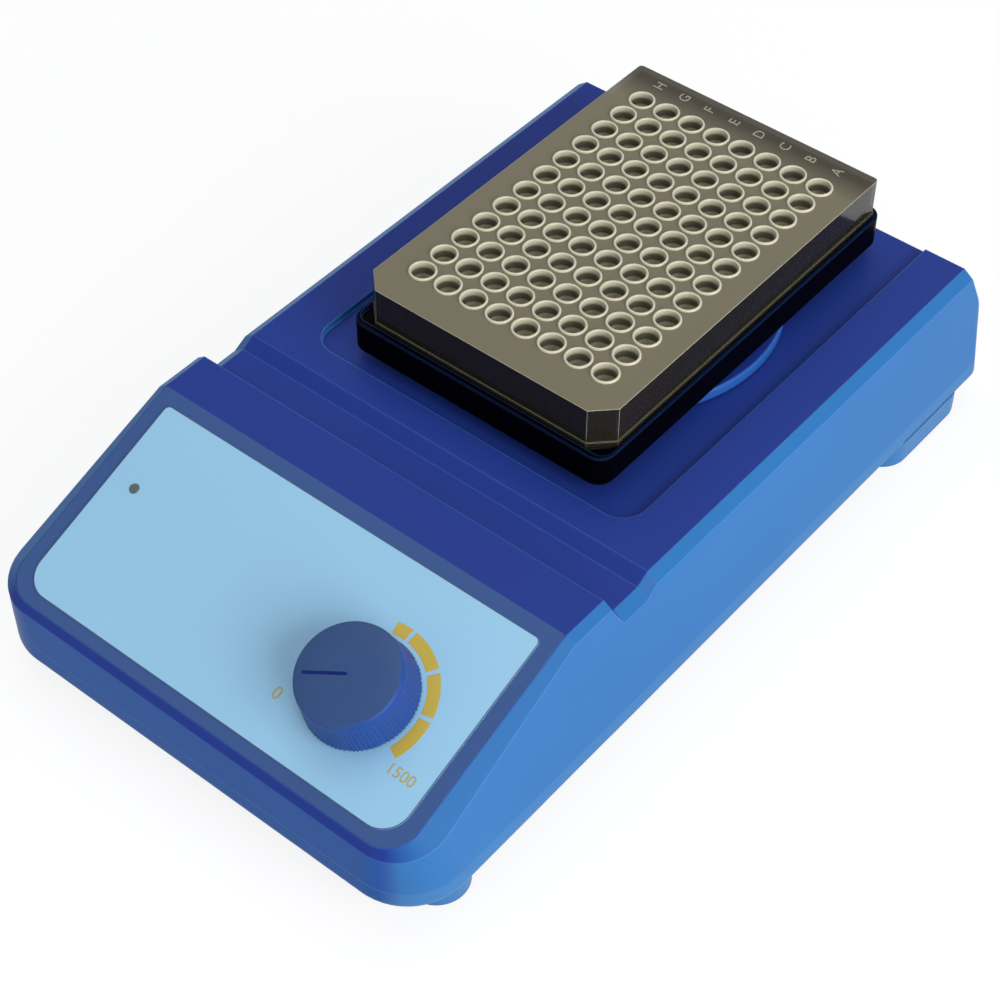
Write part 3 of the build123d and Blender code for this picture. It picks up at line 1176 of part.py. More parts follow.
with BuildPart() as jack_nut:
    with BuildSketch(rear_plane):
        with Locations((-JACK_X, 0)):
            RegularPolygon(JACK_NUT_AF / 2, 6, major_radius=False)
            Circle(JACK_BARREL_R + RUN_FIT, mode=Mode.SUBTRACT)
    extrude(amount=JACK_NUT_H)
jack_nut.part.label = "jack_nut"
export_step(jack_nut.part, "parts/jack_nut.step")

# Rocker switch: frame with its well, and the rocker at rest in the off position
with BuildPart() as switch_body:
    with BuildSketch(rear_plane):
        with Locations((-SWITCH_X, 0)):
            RectangleRounded(SWITCH_BEZEL_W, SWITCH_BEZEL_H, SWITCH_BEZEL_R)
    extrude(amount=SWITCH_BEZEL_T)
    with BuildSketch(rear_plane):
        with Locations((-SWITCH_X, 0)):
            Rectangle(SWITCH_BODY_W, SWITCH_BODY_H)
    extrude(amount=-(RECESS_FLOOR_Y - SWITCH_BODY_Y))
    with BuildSketch(rear_plane.offset(SWITCH_BEZEL_T)):
        with Locations((-SWITCH_X, 0)):
            Rectangle(ROCKER_WELL_W, ROCKER_WELL_H)
    extrude(amount=-(RECESS_FLOOR_Y + SWITCH_BEZEL_T - ROCKER_WELL_Y), mode=Mode.SUBTRACT)
    with BuildSketch(Plane(origin=(SWITCH_X, ROCKER_PIVOT_Y, RECESS_Z), z_dir=(1, 0, 0))):
        Circle(ROCKER_STUB_R + RUN_FIT)
    extrude(amount=ROCKER_WELL_W / 2 + 0.5, both=True, mode=Mode.SUBTRACT)
switch_body.part.label = "switch_body"
export_step(switch_body.part, "parts/switch_body.step")

rocker_plane = Plane(
    origin=(SWITCH_X, ROCKER_PIVOT_Y, RECESS_Z),
    x_dir=Vector(0, 1, 0).rotate(Axis.X, ROCKER_TILT),
    z_dir=(1, 0, 0),
)
with BuildPart() as switch_rocker:
    with BuildSketch(rocker_plane):
        Polygon(
            (-ROCKER_BACK, -ROCKER_H / 4),
            (0, -ROCKER_H / 2),
            (ROCKER_FACE, -ROCKER_H / 2),
            (ROCKER_VALLEY, 0),
            (ROCKER_FACE, ROCKER_H / 2),
            (0, ROCKER_H / 2),
            (-ROCKER_BACK, ROCKER_H / 4),
            align=None,
        )
    extrude(amount=ROCKER_W / 2, both=True)
    with BuildSketch(rocker_plane):
        Circle(ROCKER_STUB_R)
    extrude(amount=ROCKER_WELL_W / 2 + 0.3, both=True)
switch_rocker.part.label = "switch_rocker"
export_step(switch_rocker.part, "parts/switch_rocker.step")

# Leads inside the housing
with BuildPart() as motor_lead:
    with BuildSketch(Plane(origin=(0, SOCKET_Y + PLUG_IN, LEAD_Z), z_dir=(0, 1, 0))):
        with GridLocations(LEAD_PITCH, LEAD_PITCH, 3, 1):
            Circle(LEAD_R)
    extrude(amount=AXIS_Y - MOTOR_R - MOTOR_PLUG_OUT - SOCKET_Y - PLUG_IN)
motor_lead.part.label = "motor_lead"
export_step(motor_lead.part, "parts/motor_lead.step")

with BuildPart() as jack_lead:
    with BuildLine():
        jack_route = FilletPolyline(
            (JACK_X, JACK_BODY_Y, RECESS_Z),
            (JACK_X, LEAD_FALL_Y1, RECESS_Z),
            (JACK_X, LEAD_FALL_Y2, LEAD_Z),
            (JACK_X, SOCKET_Y + PLUG_IN, LEAD_Z),
            radius=LEAD_BEND_R,
        )
    with BuildSketch(Plane(origin=jack_route @ 0, z_dir=jack_route % 0)):
        Circle(LEAD_R)
    sweep()
jack_lead.part.label = "jack_lead"
export_step(jack_lead.part, "parts/jack_lead.step")

with BuildPart() as switch_lead:
    with BuildLine():
        switch_route = FilletPolyline(
            (SWITCH_X, SWITCH_BODY_Y, RECESS_Z),
            (SWITCH_X, LEAD_FALL_Y1, RECESS_Z),
            (SWITCH_X, LEAD_FALL_Y2, LEAD_Z),
            (SWITCH_X, SOCKET_Y + PLUG_IN, LEAD_Z),
            radius=LEAD_BEND_R,
        )
    with BuildSketch(Plane(origin=switch_route @ 0, z_dir=switch_route % 0)):
        Circle(LEAD_R)
    sweep()
switch_lead.part.label = "switch_lead"
export_step(switch_lead.part, "parts/switch_lead.step")
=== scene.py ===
"""Looks of the microplate mixer: finishes, printed panel, knob, clear plate and studio.

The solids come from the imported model. This script dresses them and adds the pieces whose
form is too fine for the solids. Lengths are in metres, +X right, +Y to the rear, +Z up.
"""

import logging
import math
from collections.abc import Callable, Iterable
from dataclasses import dataclass
from enum import Enum

import bmesh
import bpy
from mathutils import Matrix, Vector


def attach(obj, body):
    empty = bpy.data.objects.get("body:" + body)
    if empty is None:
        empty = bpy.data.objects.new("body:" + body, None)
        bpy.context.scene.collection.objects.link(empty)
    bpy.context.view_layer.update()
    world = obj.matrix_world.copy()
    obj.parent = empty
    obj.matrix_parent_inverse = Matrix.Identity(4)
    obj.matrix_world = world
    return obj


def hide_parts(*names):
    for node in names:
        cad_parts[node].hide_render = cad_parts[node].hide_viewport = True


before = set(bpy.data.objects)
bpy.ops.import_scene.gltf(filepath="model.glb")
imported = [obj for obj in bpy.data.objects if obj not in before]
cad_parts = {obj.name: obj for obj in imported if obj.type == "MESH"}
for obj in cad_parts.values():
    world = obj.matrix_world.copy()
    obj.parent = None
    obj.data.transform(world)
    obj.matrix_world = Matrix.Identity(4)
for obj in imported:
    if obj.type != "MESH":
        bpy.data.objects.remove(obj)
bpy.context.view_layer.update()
MM = 0.001
log = logging.getLogger("mixer")

Colour = tuple[float, float, float]
Place = tuple[float, float, float]
Piece = bpy.types.Object
Socket = bpy.types.NodeSocket
Value = Socket | float | tuple

ORIGIN: Place = (0.0, 0.0, 0.0)
WHITE: Colour = (1.0, 1.0, 1.0)

# How far a face is turned along an axis where it starts to count as a wall or as level,
# and where it wholly does
SIDE_TURN = (0.3, 0.6)
END_TURN = (0.86, 0.97)
LEVEL_TURN = (0.3, 0.95)

# Slow clouds in the colour, and least and greatest roughness for each unit of it
CLOUD_DARK = 0.72
CLOUD_SHARE = 0.25
GLOSS_SPREAD = (0.88, 1.12)

# Places on the clear plate that its looks depend on
PLATE_FOOT_Z = 64.0 * MM
PLATE_LIT_Z = 66.0 * MM
PLATE_RIM_Z = 75.85 * MM
PLATE_MARGIN_Y = (98.0 * MM, 108.0 * MM)
CLEAR_GLOSS_SPREAD = (0.7, 1.4)
CLEAR_EDGE_RADIUS = 0.35 * MM
CLEAR_RIPPLES = 90.0  # for each metre
CLEAR_RIPPLE = 0.01 * MM  # their depth


def srgb(*channels: int) -> Colour:
    """Turn an everyday 0 to 255 colour into the linear one that shaders use."""
    parts = (value / 255 for value in channels)
    return tuple(p / 12.92 if p <= 0.04045 else ((p + 0.055) / 1.055) ** 2.4 for p in parts)


class Body(Enum):
    """Rigid bodies of the mixer that new pieces ride on."""

    HOUSING = "housing"
    PLATE = "plate"
    KNOB = "knob"


class Grain(Enum):
    """How a surface is broken up, as the stretch of its grain."""

    MOULDED = (1.0, 1.0, 1.0)
    GROUND = (1.0, 0.04, 1.0)


class NodeKit:
    """Adds nodes to one shader tree and joins them."""

    def __init__(self, tree: bpy.types.NodeTree) -> None:
        """Work on tree."""
        self.tree = tree

    def node(self, kind: str, **settings: object) -> bpy.types.Node:
        """Add a node, named without its ShaderNode prefix, and set its properties."""
        made = self.tree.nodes.new(f"ShaderNode{kind}")
        for key, value in settings.items():
            setattr(made, key, value)
        return made

    def feed(self, target: Socket, value: Value) -> None:
        """Join a socket to target, or set target to a plain value or colour."""
        if isinstance(value, Socket):
            self.tree.links.new(value, target)
        else:
            target.default_value = (*value, 1.0) if target.type == "RGBA" else value

    def fill(self, node: bpy.types.Node, values: dict[str, Value]) -> bpy.types.NodeOutputs:
        """Feed inputs of a node by their names and give its outputs."""
        for name, value in values.items():
            self.feed(node.inputs[name], value)
        return node.outputs

    def math(
        self, operation: str, first: Value, second: Value = 0.0, clamp: bool = False,
    ) -> Socket:
        """Work out first and second, kept within 0 and 1 if clamp is set."""
        made = self.node("Math", operation=operation, use_clamp=clamp)
        self.feed(made.inputs[0], first)
        self.feed(made.inputs[1], second)
        return made.outputs[0]

    def vector(self, operation: str, first: Value, second: Value) -> bpy.types.NodeOutputs:
        """Work out two vectors and give the node's outputs."""
        made = self.node("VectorMath", operation=operation)
        self.feed(made.inputs[0], first)
        self.feed(made.inputs[1], second)
        return made.outputs

    def ramp(
        self, source: Value, low: float, high: float, start: Value = 0.0, end: Value = 1.0,
    ) -> Socket:
        """Turn a value between low and high into one between start and end."""
        return self.fill(self.node("MapRange"), {
            "Value": source, "From Min": low, "From Max": high, "To Min": start, "To Max": end,
        })["Result"]

    def mix(self, factor: Value, first: Value, second: Value) -> Socket:
        """Mix two colours, or sockets with one. Factor 0 gives the first."""
        made = self.node("Mix", data_type="RGBA")
        for index, value in ((0, factor), (6, first), (7, second)):
            self.feed(made.inputs[index], value)
        return made.outputs[2]

    def noise(self, place: Value, scale: Value, detail: float, rough: float) -> Socket:
        """Add a noise texture and give its height."""
        values = {"Vector": place, "Scale": scale, "Detail": detail, "Roughness": rough}
        return self.fill(self.node("TexNoise"), values)["Fac"]

    def bump(self, height: Value, depth: float, normal: Value) -> Socket:
        """Give the normal roughened by a height whose full depth is in metres."""
        values = {"Height": height, "Distance": depth, "Normal": normal}
        return self.fill(self.node("Bump"), values)["Normal"]

    def part(self, source: Value, axis: str) -> Socket:
        """Give one part, X, Y or Z, of a vector."""
        return self.fill(self.node("SeparateXYZ"), {"Vector": source})[axis]

    def place(self, axis: str) -> Socket:
        """Give the place along one axis of the object."""
        return self.part(self.node("TexCoord").outputs["Object"], axis)

    def turned(self, axis: str) -> Socket:
        """Give how far a face is turned along one axis, either way, from 0 to 1."""
        return self.math("ABSOLUTE", self.part(self.node("NewGeometry").outputs["Normal"], axis))

    def group(self, tree: bpy.types.NodeTree, **values: Value) -> bpy.types.NodeOutputs:
        """Place a shared group, feed its inputs and give its outputs."""
        return self.fill(self.node("Group", node_tree=tree), values)

    def glow(self, kind: str, strength: float) -> Socket:
        """Add a white Background or Emission shader."""
        return self.fill(self.node(kind), {"Color": WHITE, "Strength": strength})[0]

    def blend(self, factor: Value, first: Value, second: Value, output: str) -> None:
        """Mix two shaders by factor and hand the result to the output node."""
        made = self.node("MixShader")
        for socket, value in zip(made.inputs, (factor, first, second)):
            self.feed(socket, value)
        self.feed(self.tree.nodes[output].inputs["Surface"], made.outputs[0])

    def seen_rays(self) -> Socket:
        """Give 1 for rays that see straight, in a reflection or through glass."""
        path = self.node("LightPath").outputs
        either = self.math("MAXIMUM", path["Is Camera Ray"], path["Is Glossy Ray"])
        return self.math("MAXIMUM", either, path["Is Transmission Ray"])


class GroupKit(NodeKit):
    """Builds a shader node group with named inputs and outputs."""

    def __init__(self, name: str, takes: dict[str, float | tuple], gives: dict[str, str]) -> None:
        """Start a group.

        Args:
            name: Its name.
            takes: Inputs with their default values.
            gives: Outputs with their kinds, Float or Vector.
        """
        super().__init__(bpy.data.node_groups.new(name, "ShaderNodeTree"))
        sockets = self.tree.interface
        for label, default in takes.items():
            kind = "Vector" if isinstance(default, tuple) else "Float"
            made = sockets.new_socket(label, in_out="INPUT", socket_type=f"NodeSocket{kind}")
            made.default_value = default
        for label, kind in gives.items():
            sockets.new_socket(label, in_out="OUTPUT", socket_type=f"NodeSocket{kind}")
        self.given = self.tree.nodes.new("NodeGroupInput").outputs
        self.result = self.tree.nodes.new("NodeGroupOutput")


def edge_group() -> bpy.types.NodeTree:
    """Build the group that rounds edges to the eye and marks where they are, for the painted edge
    highlights.
    """
    takes = {"Radius": 0.5 * MM, "Gain": 6.0}
    kit = GroupKit("rounded_edges", takes, {"Mask": "Float", "Normal": "Vector"})
    radius = {"Radius": kit.given["Radius"]}
    bevel = kit.fill(kit.node("Bevel", samples=6), radius)["Normal"]
    plain = kit.node("NewGeometry").outputs["Normal"]
    away = kit.math("SUBTRACT", 1.0, kit.vector("DOT_PRODUCT", bevel, plain)["Value"])
    mask = kit.math("MULTIPLY", away, kit.given["Gain"], clamp=True)
    kit.fill(kit.result, {"Mask": mask, "Normal": bevel})
    return kit.tree


def grain_group() -> bpy.types.NodeTree:
    """Build the group for moulded grain with slow cloudiness of the colour."""
    takes = {"Scale": 900.0, "Stretch": Grain.MOULDED.value, "CloudScale": 18.0}
    kit = GroupKit("surface_grain", takes, {"Height": "Float", "Cloud": "Float"})
    place = kit.node("TexCoord").outputs["Object"]
    stretched = kit.vector("MULTIPLY", place, kit.given["Stretch"])[0]
    kit.fill(kit.result, {
        "Height": kit.noise(stretched, kit.given["Scale"], detail=3.0, rough=0.6),
        "Cloud": kit.noise(place, kit.given["CloudScale"], detail=2.0, rough=0.5),
    })
    return kit.tree


def wall_shading_group() -> bpy.types.NodeTree:
    """Build the group whose Side and End are 1 on side walls and on end walls, where the painted
    light of the walls goes.
    """
    kit = GroupKit("painted_wall_shading", {}, {"Side": "Float", "End": "Float"})
    kit.fill(kit.result, {
        "Side": kit.ramp(kit.turned("X"), *SIDE_TURN), "End": kit.ramp(kit.turned("Y"), *END_TURN),
    })
    return kit.tree


EDGES = edge_group()
GRAIN = grain_group()
WALL_SHADING = wall_shading_group()


class Dressing:
    """A finish whose material is built once and then shared."""

    name: str

    def material(self) -> bpy.types.Material:
        """Give the material, built at the first call."""
        label = f"{self.name}_finish"
        made = bpy.data.materials.get(label)
        if made is None:
            made = bpy.data.materials.new(label)
            made.use_nodes = True
            self.paint(NodeKit(made.node_tree), made.node_tree.nodes["Principled BSDF"])
        return made

    def paint(self, kit: NodeKit, surface: bpy.types.Node) -> None:
        """Feed the surface, each kind of finish in its own way.

        Args:
            surface: The shader to feed.
        """
        raise NotImplementedError


@dataclass(frozen=True)
class Finish(Dressing):
    """A surface finish: colour, gloss, grain, painted light on its walls and painted highlights
    along its edges.

    Attributes:
        name: The material's name.
        colour: Main colour, linear.
        side: Painted light: colour of faces turned to the left or right, lighter or darker as light
            falls on them.
        edge: Painted highlight colour along the edges.
        rough: Roughness.
        metal: Metallic value.
        grain: How the surface is broken up.
        grain_scale: Waves of the grain for each metre.
        grain_height: Depth of the grain in metres.
        edge_radius: Radius of the rounded edges in metres.
        edge_highlight_amount: How strongly the painted edge highlight shows.
        coat: Weight of a clear coat.
        specular: Specular level.
        edge_highlight_gain: How far the painted edge highlight spreads round a soft edge.
        end: Painted light: colour of the front and rear walls, as light falls on them. None takes
            the side colour.
    """

    name: str
    colour: Colour
    side: Colour
    edge: Colour
    rough: float = 0.4
    metal: float = 0.0
    grain: Grain = Grain.MOULDED
    grain_scale: float = 1400.0
    grain_height: float = 0.00003
    edge_radius: float = 0.0006
    edge_highlight_amount: float = 0.6
    coat: float = 0.0
    specular: float = 0.5
    edge_highlight_gain: float = 6.0
    end: Colour | None = None

    def paint(self, kit: NodeKit, surface: bpy.types.Node) -> None:
        """Feed colour, gloss and normal of a moulded, printed or metal surface."""
        grain = kit.group(GRAIN, Scale=self.grain_scale, Stretch=self.grain.value)
        edges = kit.group(EDGES, Radius=self.edge_radius, Gain=self.edge_highlight_gain)
        walls = kit.group(WALL_SHADING)
        clouded = tuple(CLOUD_DARK * channel for channel in self.colour)
        # Painted light: side and end walls take their own colours, lighter or darker as light falls
        # on them
        colour = kit.mix(walls["End"], self.colour, self.end or self.side)
        colour = kit.mix(walls["Side"], colour, self.side)
        colour = kit.mix(kit.math("MULTIPLY", grain["Cloud"], CLOUD_SHARE), colour, clouded)
        # Painted highlight along the edges
        colour = kit.mix(kit.math("MULTIPLY", edges["Mask"], self.edge_highlight_amount), colour, self.edge)
        least, most = (min(1.0, self.rough * share) for share in GLOSS_SPREAD)
        kit.fill(surface, {
            "Base Color": colour,
            "Metallic": self.metal,
            "Coat Weight": self.coat,
            "Specular IOR Level": self.specular,
            "Roughness": kit.ramp(grain["Height"], 0.0, 1.0, least, most),
            "Normal": kit.bump(grain["Height"], self.grain_height, edges["Normal"]),
        })


@dataclass(frozen=True)
class ClearFinish(Dressing):
    """Clear moulded plastic with painted light: level faces lighter than the upright walls, and
    painted highlights along the edges.

    Attributes:
        name: The material's name.
        body: Colour of the level faces, linear, painted lighter than the walls as light falls on
            them.
        wall: Colour of the upright walls, painted darker as shade.
        rim: Painted highlight colour along the edges.
        wall_alpha: Cover of the upright walls.
        top_alpha: Cover of the level faces near the top.
        floor_alpha: Cover of the level faces below.
        rim_alpha: Cover of the edges.
        low: Height where the lower faces end.
        high: Height where the upper faces start.
        rough: Roughness.
        edge_highlight_gain: How far the painted edge highlight spreads.
        specular: Specular level.
        rim_low: Share of the painted edge highlight that is left near the foot.
        shading_bands: Painted light and shade on the walls, as colours from the bottom, 0, to the
            top, 1. None keeps one colour.
        shade: Colour of the rear margin of the level faces. None keeps one colour.
    """

    name: str
    body: Colour
    wall: Colour
    rim: Colour
    wall_alpha: float
    top_alpha: float
    floor_alpha: float
    rim_alpha: float
    low: float = 67.0 * MM
    high: float = 74.5 * MM
    rough: float = 0.12
    edge_highlight_gain: float = 4.0
    specular: float = 0.5
    rim_low: float = 1.0
    shading_bands: tuple[tuple[float, Colour], ...] | None = None
    shade: Colour | None = None

    def paint(self, kit: NodeKit, surface: bpy.types.Node) -> None:
        """Feed colour, cover, gloss and normal of the clear plastic."""
        edges = kit.group(EDGES, Radius=CLEAR_EDGE_RADIUS, Gain=self.edge_highlight_gain)
        ripple = kit.group(GRAIN, CloudScale=CLEAR_RIPPLES)["Cloud"]
        level = kit.turned("Z")
        # Painted highlight along the edges, weaker towards the foot
        lit = kit.ramp(kit.place("Z"), PLATE_FOOT_Z, PLATE_LIT_Z, self.rim_low)
        rim = kit.math("MULTIPLY", lit, edges["Mask"])
        flat = kit.ramp(kit.place("Z"), self.low, self.high, self.floor_alpha, self.top_alpha)
        cover = kit.ramp(level, *LEVEL_TURN, self.wall_alpha, flat)
        # Painted light: level faces and upright walls take different colours
        colour = kit.mix(level, self.wall_colour(kit), self.top_colour(kit))
        least, most = (self.rough * share for share in CLEAR_GLOSS_SPREAD)
        kit.fill(surface, {
            "Base Color": kit.mix(rim, colour, self.rim),
            "Alpha": kit.math("MAXIMUM", cover, kit.ramp(rim, 0.0, 1.0, 0.0, self.rim_alpha)),
            "Specular IOR Level": self.specular,
            "Roughness": kit.ramp(ripple, 0.0, 1.0, least, most),
            "Normal": kit.bump(ripple, CLEAR_RIPPLE, edges["Normal"]),
        })

    def wall_colour(self, kit: NodeKit) -> Value:
        """Give the wall colour, in rings of painted light and shade by height, standing in for
        light bent by the thick walls.
        """
        if self.shading_bands is None:
            return self.wall
        ramp = kit.node("ValToRGB")
        points = ramp.color_ramp.elements
        while len(points) < len(self.shading_bands):
            points.new(0.5)
        for point, (where, colour) in zip(points, self.shading_bands):
            point.position = where
            point.color = (*colour, 1.0)
        rise = kit.ramp(kit.place("Z"), PLATE_FOOT_Z, PLATE_RIM_Z)
        return kit.fill(ramp, {"Fac": rise})["Color"]

    def top_colour(self, kit: NodeKit) -> Value:
        """Give the colour of the level faces, darker along the rear margin."""
        if self.shade is None:
            return self.body
        return kit.mix(kit.ramp(kit.place("Y"), *PLATE_MARGIN_Y), self.body, self.shade)


# Finishes of this object

# In each Finish the side and end colours are painted light on the walls, and the edge colour is a
# painted highlight
COVER_BLUE = Finish(
    "cover_blue", srgb(35, 58, 141), srgb(45, 109, 168), srgb(80, 142, 212),
    rough=0.42, grain_scale=1700.0, grain_height=0.00002, edge_radius=0.0007, edge_highlight_amount=0.9,
    specular=0.1, end=srgb(2, 82, 160),
)
BASE_BLUE = Finish(
    "base_blue", srgb(42, 76, 142), srgb(60, 116, 168), srgb(60, 112, 176),
    grain_scale=1500.0, specular=0.1, end=srgb(2, 80, 156),
)
PANEL_BLUE = Finish(
    "panel_field_blue", srgb(62, 90, 144), srgb(58, 86, 140), srgb(78, 112, 168),
    rough=0.75, grain_scale=2200.0, grain_height=0.0001, edge_radius=0.0003, specular=0.15,
)
LABEL_BLUE = Finish(
    "label_film", srgb(150, 200, 232), srgb(156, 204, 236), srgb(170, 212, 238),
    rough=0.3, grain_scale=500.0, grain_height=0.000004, edge_radius=0.0002, edge_highlight_amount=0.3,
)
LABEL_DARK = Finish(
    "label_print_dark", srgb(52, 78, 116), srgb(52, 78, 116), srgb(64, 92, 132),
    grain_height=0.000004, edge_radius=0.0001,
)
LABEL_GOLD = Finish(
    "label_print_gold", srgb(196, 170, 62), srgb(188, 160, 58), srgb(206, 182, 90),
    rough=0.38, grain_height=0.000004, edge_radius=0.0001, edge_highlight_amount=0.3,
)
LABEL_PALE_GOLD = Finish(
    "label_print_pale_gold", srgb(176, 166, 108), srgb(172, 162, 106), srgb(184, 174, 122),
    rough=0.38, grain_height=0.000004, edge_radius=0.0001, edge_highlight_amount=0.3,
)
KNOB_BLUE = Finish(
    "knob_blue", srgb(48, 76, 124), srgb(28, 66, 142), srgb(66, 104, 172),
    grain_scale=1900.0, grain_height=0.000015, edge_radius=0.0004, edge_highlight_amount=0.4,
    specular=0.2,
)
KNOB_MARK = Finish(
    "knob_mark", srgb(14, 34, 104), srgb(12, 30, 96), srgb(24, 50, 130),
    rough=0.5, edge_radius=0.0002, specular=0.1,
)
# The blue edge colour of the black tray is a painted reflection along its rim
TRAY_BLACK = Finish(
    "tray_black", srgb(3, 3, 6), srgb(2, 2, 5), srgb(40, 72, 130),
    rough=0.3, grain_scale=900.0, grain_height=0.00001, edge_radius=0.0007, edge_highlight_amount=0.9,
    specular=0.01, edge_highlight_gain=10.0,
)
DISC_BLUE = Finish(
    "disc_blue", srgb(28, 52, 134), srgb(40, 92, 168), srgb(62, 118, 196),
    rough=0.35, specular=0.15,
)
RUBBER = Finish(
    "foot_rubber", srgb(38, 39, 42), srgb(32, 33, 36), srgb(60, 61, 64),
    rough=0.82, grain_scale=2200.0, grain_height=0.00006, specular=0.25,
)
STEEL = Finish(
    "machined_steel", srgb(176, 178, 182), srgb(160, 162, 168), srgb(214, 216, 220),
    rough=0.32, metal=1.0, grain=Grain.GROUND, grain_scale=1800.0, grain_height=0.000008,
    edge_radius=0.0003,
)
BRONZE = Finish(
    "bush_bronze", srgb(186, 140, 84), srgb(170, 124, 72), srgb(214, 176, 120),
    metal=1.0, grain_scale=2000.0, grain_height=0.00001, edge_radius=0.0002,
)
WINDING = Finish(
    "stator_winding", srgb(150, 84, 50), srgb(134, 72, 42), srgb(178, 110, 70),
    rough=0.45, metal=0.6, grain=Grain.GROUND, grain_scale=2600.0, grain_height=0.00005,
    edge_radius=0.0003,
)
BOARD_GREEN = Finish(
    "board_lacquer", srgb(24, 88, 52), srgb(20, 78, 46), srgb(120, 130, 84),
    rough=0.28, grain_scale=700.0, grain_height=0.00001, edge_radius=0.0002,
)
BLACK_PLASTIC = Finish(
    "black_moulding", srgb(30, 31, 34), srgb(25, 26, 29), srgb(66, 68, 72),
    rough=0.45, grain_scale=1800.0, grain_height=0.00002, edge_radius=0.0003,
)
SLEEVE = Finish(
    "lead_sleeve", srgb(34, 34, 38), srgb(28, 28, 32), srgb(60, 60, 66),
    rough=0.55, grain_scale=1200.0, grain_height=0.00001, edge_radius=0.0001,
)
LAMP = Finish(
    "lamp_lens", srgb(70, 84, 84), srgb(60, 74, 76), srgb(110, 124, 122),
    rough=0.18, grain_height=0.000002, edge_radius=0.0002, coat=0.4,
)
PLATE_CLEAR = ClearFinish(
    "plate_clear", srgb(124, 117, 95), srgb(38, 35, 27), srgb(202, 196, 172),
    wall_alpha=0.78, top_alpha=0.88, floor_alpha=0.3, rim_alpha=0.9, edge_highlight_gain=9.0,
    specular=0.25, rim_low=0.3, shade=srgb(66, 60, 46),
)
WELL_CLEAR = ClearFinish(
    "well_clear", srgb(206, 200, 176), srgb(120, 113, 94), srgb(246, 242, 222),
    wall_alpha=0.94, top_alpha=0.95, floor_alpha=0.4, rim_alpha=0.98,
    # Painted light and shade: light and dark rings down the well walls
    shading_bands=(
        (0.0, srgb(60, 56, 46)), (0.48, srgb(232, 226, 200)), (0.61, srgb(216, 209, 182)),
        (0.67, srgb(10, 9, 7)), (0.81, srgb(16, 14, 11)), (0.88, srgb(188, 181, 156)),
        (1.0, srgb(214, 208, 184)),
    ),
)
MARK_CLEAR = ClearFinish(
    "mark_clear", srgb(154, 149, 130), srgb(154, 149, 130), srgb(170, 165, 146),
    wall_alpha=0.8, top_alpha=0.95, floor_alpha=0.95, rim_alpha=0.95,
)

# Solids that aren't bare steel
NODE_FINISHES: dict[str, Dressing] = {
    "top_shell": COVER_BLUE, "base_shell": BASE_BLUE, "rubber_feet": RUBBER,
    "front_label": LABEL_BLUE, "speed_knob": KNOB_BLUE, "power_led": LAMP,
    "potentiometer_body": BLACK_PLASTIC, "led_holder": BLACK_PLASTIC,
    "control_board": BOARD_GREEN, "board_parts": BLACK_PLASTIC, "motor_stator": WINDING,
    "motor_bushes": BRONZE, "idler_bushes": BRONZE, "head_bushes": BLACK_PLASTIC,
    "shaker_head": DISC_BLUE, "plate_tray": TRAY_BLACK, "microplate": PLATE_CLEAR,
    "power_jack": BLACK_PLASTIC, "jack_pin": BRONZE, "switch_body": BLACK_PLASTIC,
    "switch_rocker": BLACK_PLASTIC, "motor_lead": SLEEVE, "jack_lead": SLEEVE,
    "switch_lead": SLEEVE,
}


# Modelling helpers

SELECT_MODES = {"faces": "FACE", "edges": "EDGE", "verts": "VERT"}
LEVEL = 0.9  # least upward share of the normal of a level face
TOUCH = 0.01 * MM  # how near two places count as one


def clear_selection() -> None:
    """Leave edit mode and deselect every object."""
    if bpy.context.object is not None and bpy.context.object.mode != "OBJECT":
        bpy.ops.object.mode_set(mode="OBJECT")
    bpy.ops.object.select_all(action="DESELECT")


def pick(piece: Piece) -> None:
    """Make piece the only selected object and the active one."""
    clear_selection()
    piece.select_set(True)
    bpy.context.view_layer.objects.active = piece


def name_new(name: str) -> Piece:
    """Name the object that an operator has just made, and give it back."""
    piece = bpy.context.object
    piece.name = name
    piece.data.name = name
    return piece


def select_whole() -> None:
    """Select everything of the piece in edit mode."""
    bpy.ops.mesh.select_all(action="SELECT")


def choose(piece: Piece, kind: str, test: Callable[[object], bool]) -> None:
    """Select parts of the piece, which is in edit mode, by a test on each.

    Args:
        piece: The piece.
        kind: faces, edges or verts.
        test: Says whether one of them is wanted.
    """
    bpy.ops.mesh.select_mode(type=SELECT_MODES[kind])
    bpy.ops.mesh.select_all(action="DESELECT")
    mesh = bmesh.from_edit_mesh(piece.data)
    for element in getattr(mesh, kind):
        if test(element):
            element.select_set(True)
    mesh.select_flush_mode()
    bmesh.update_edit_mesh(piece.data)


def is_upright(edge: bmesh.types.BMEdge, least: float) -> bool:
    """Say whether an edge climbs by more than least."""
    return abs(edge.verts[0].co.z - edge.verts[1].co.z) > least


def edit(piece: Piece) -> None:
    """Open piece in edit mode."""
    pick(piece)
    bpy.ops.object.mode_set(mode="EDIT")


def close_edit(outward: bool = True) -> None:
    """Leave edit mode, with the faces turned outwards first unless outward is False."""
    if outward:
        select_whole()
        bpy.ops.mesh.normals_make_consistent(inside=False)
    bpy.ops.object.mode_set(mode="OBJECT")


def extrude(rise: float) -> None:
    """Extrude what is selected upwards."""
    bpy.ops.mesh.extrude_region_move(TRANSFORM_OT_translate={"value": (0.0, 0.0, rise)})


def bevel(offset: float, segments: int, affect: str = "EDGES") -> None:
    """Bevel the selected edges or vertices."""
    bpy.ops.mesh.bevel(offset=offset, segments=segments, affect=affect, clamp_overlap=False)


def resize(across: float, along: float, about: Place = ORIGIN) -> None:
    """Scale what is selected, level with the ground, about a place."""
    bpy.ops.transform.resize(value=(across, along, 1.0), center_override=about)


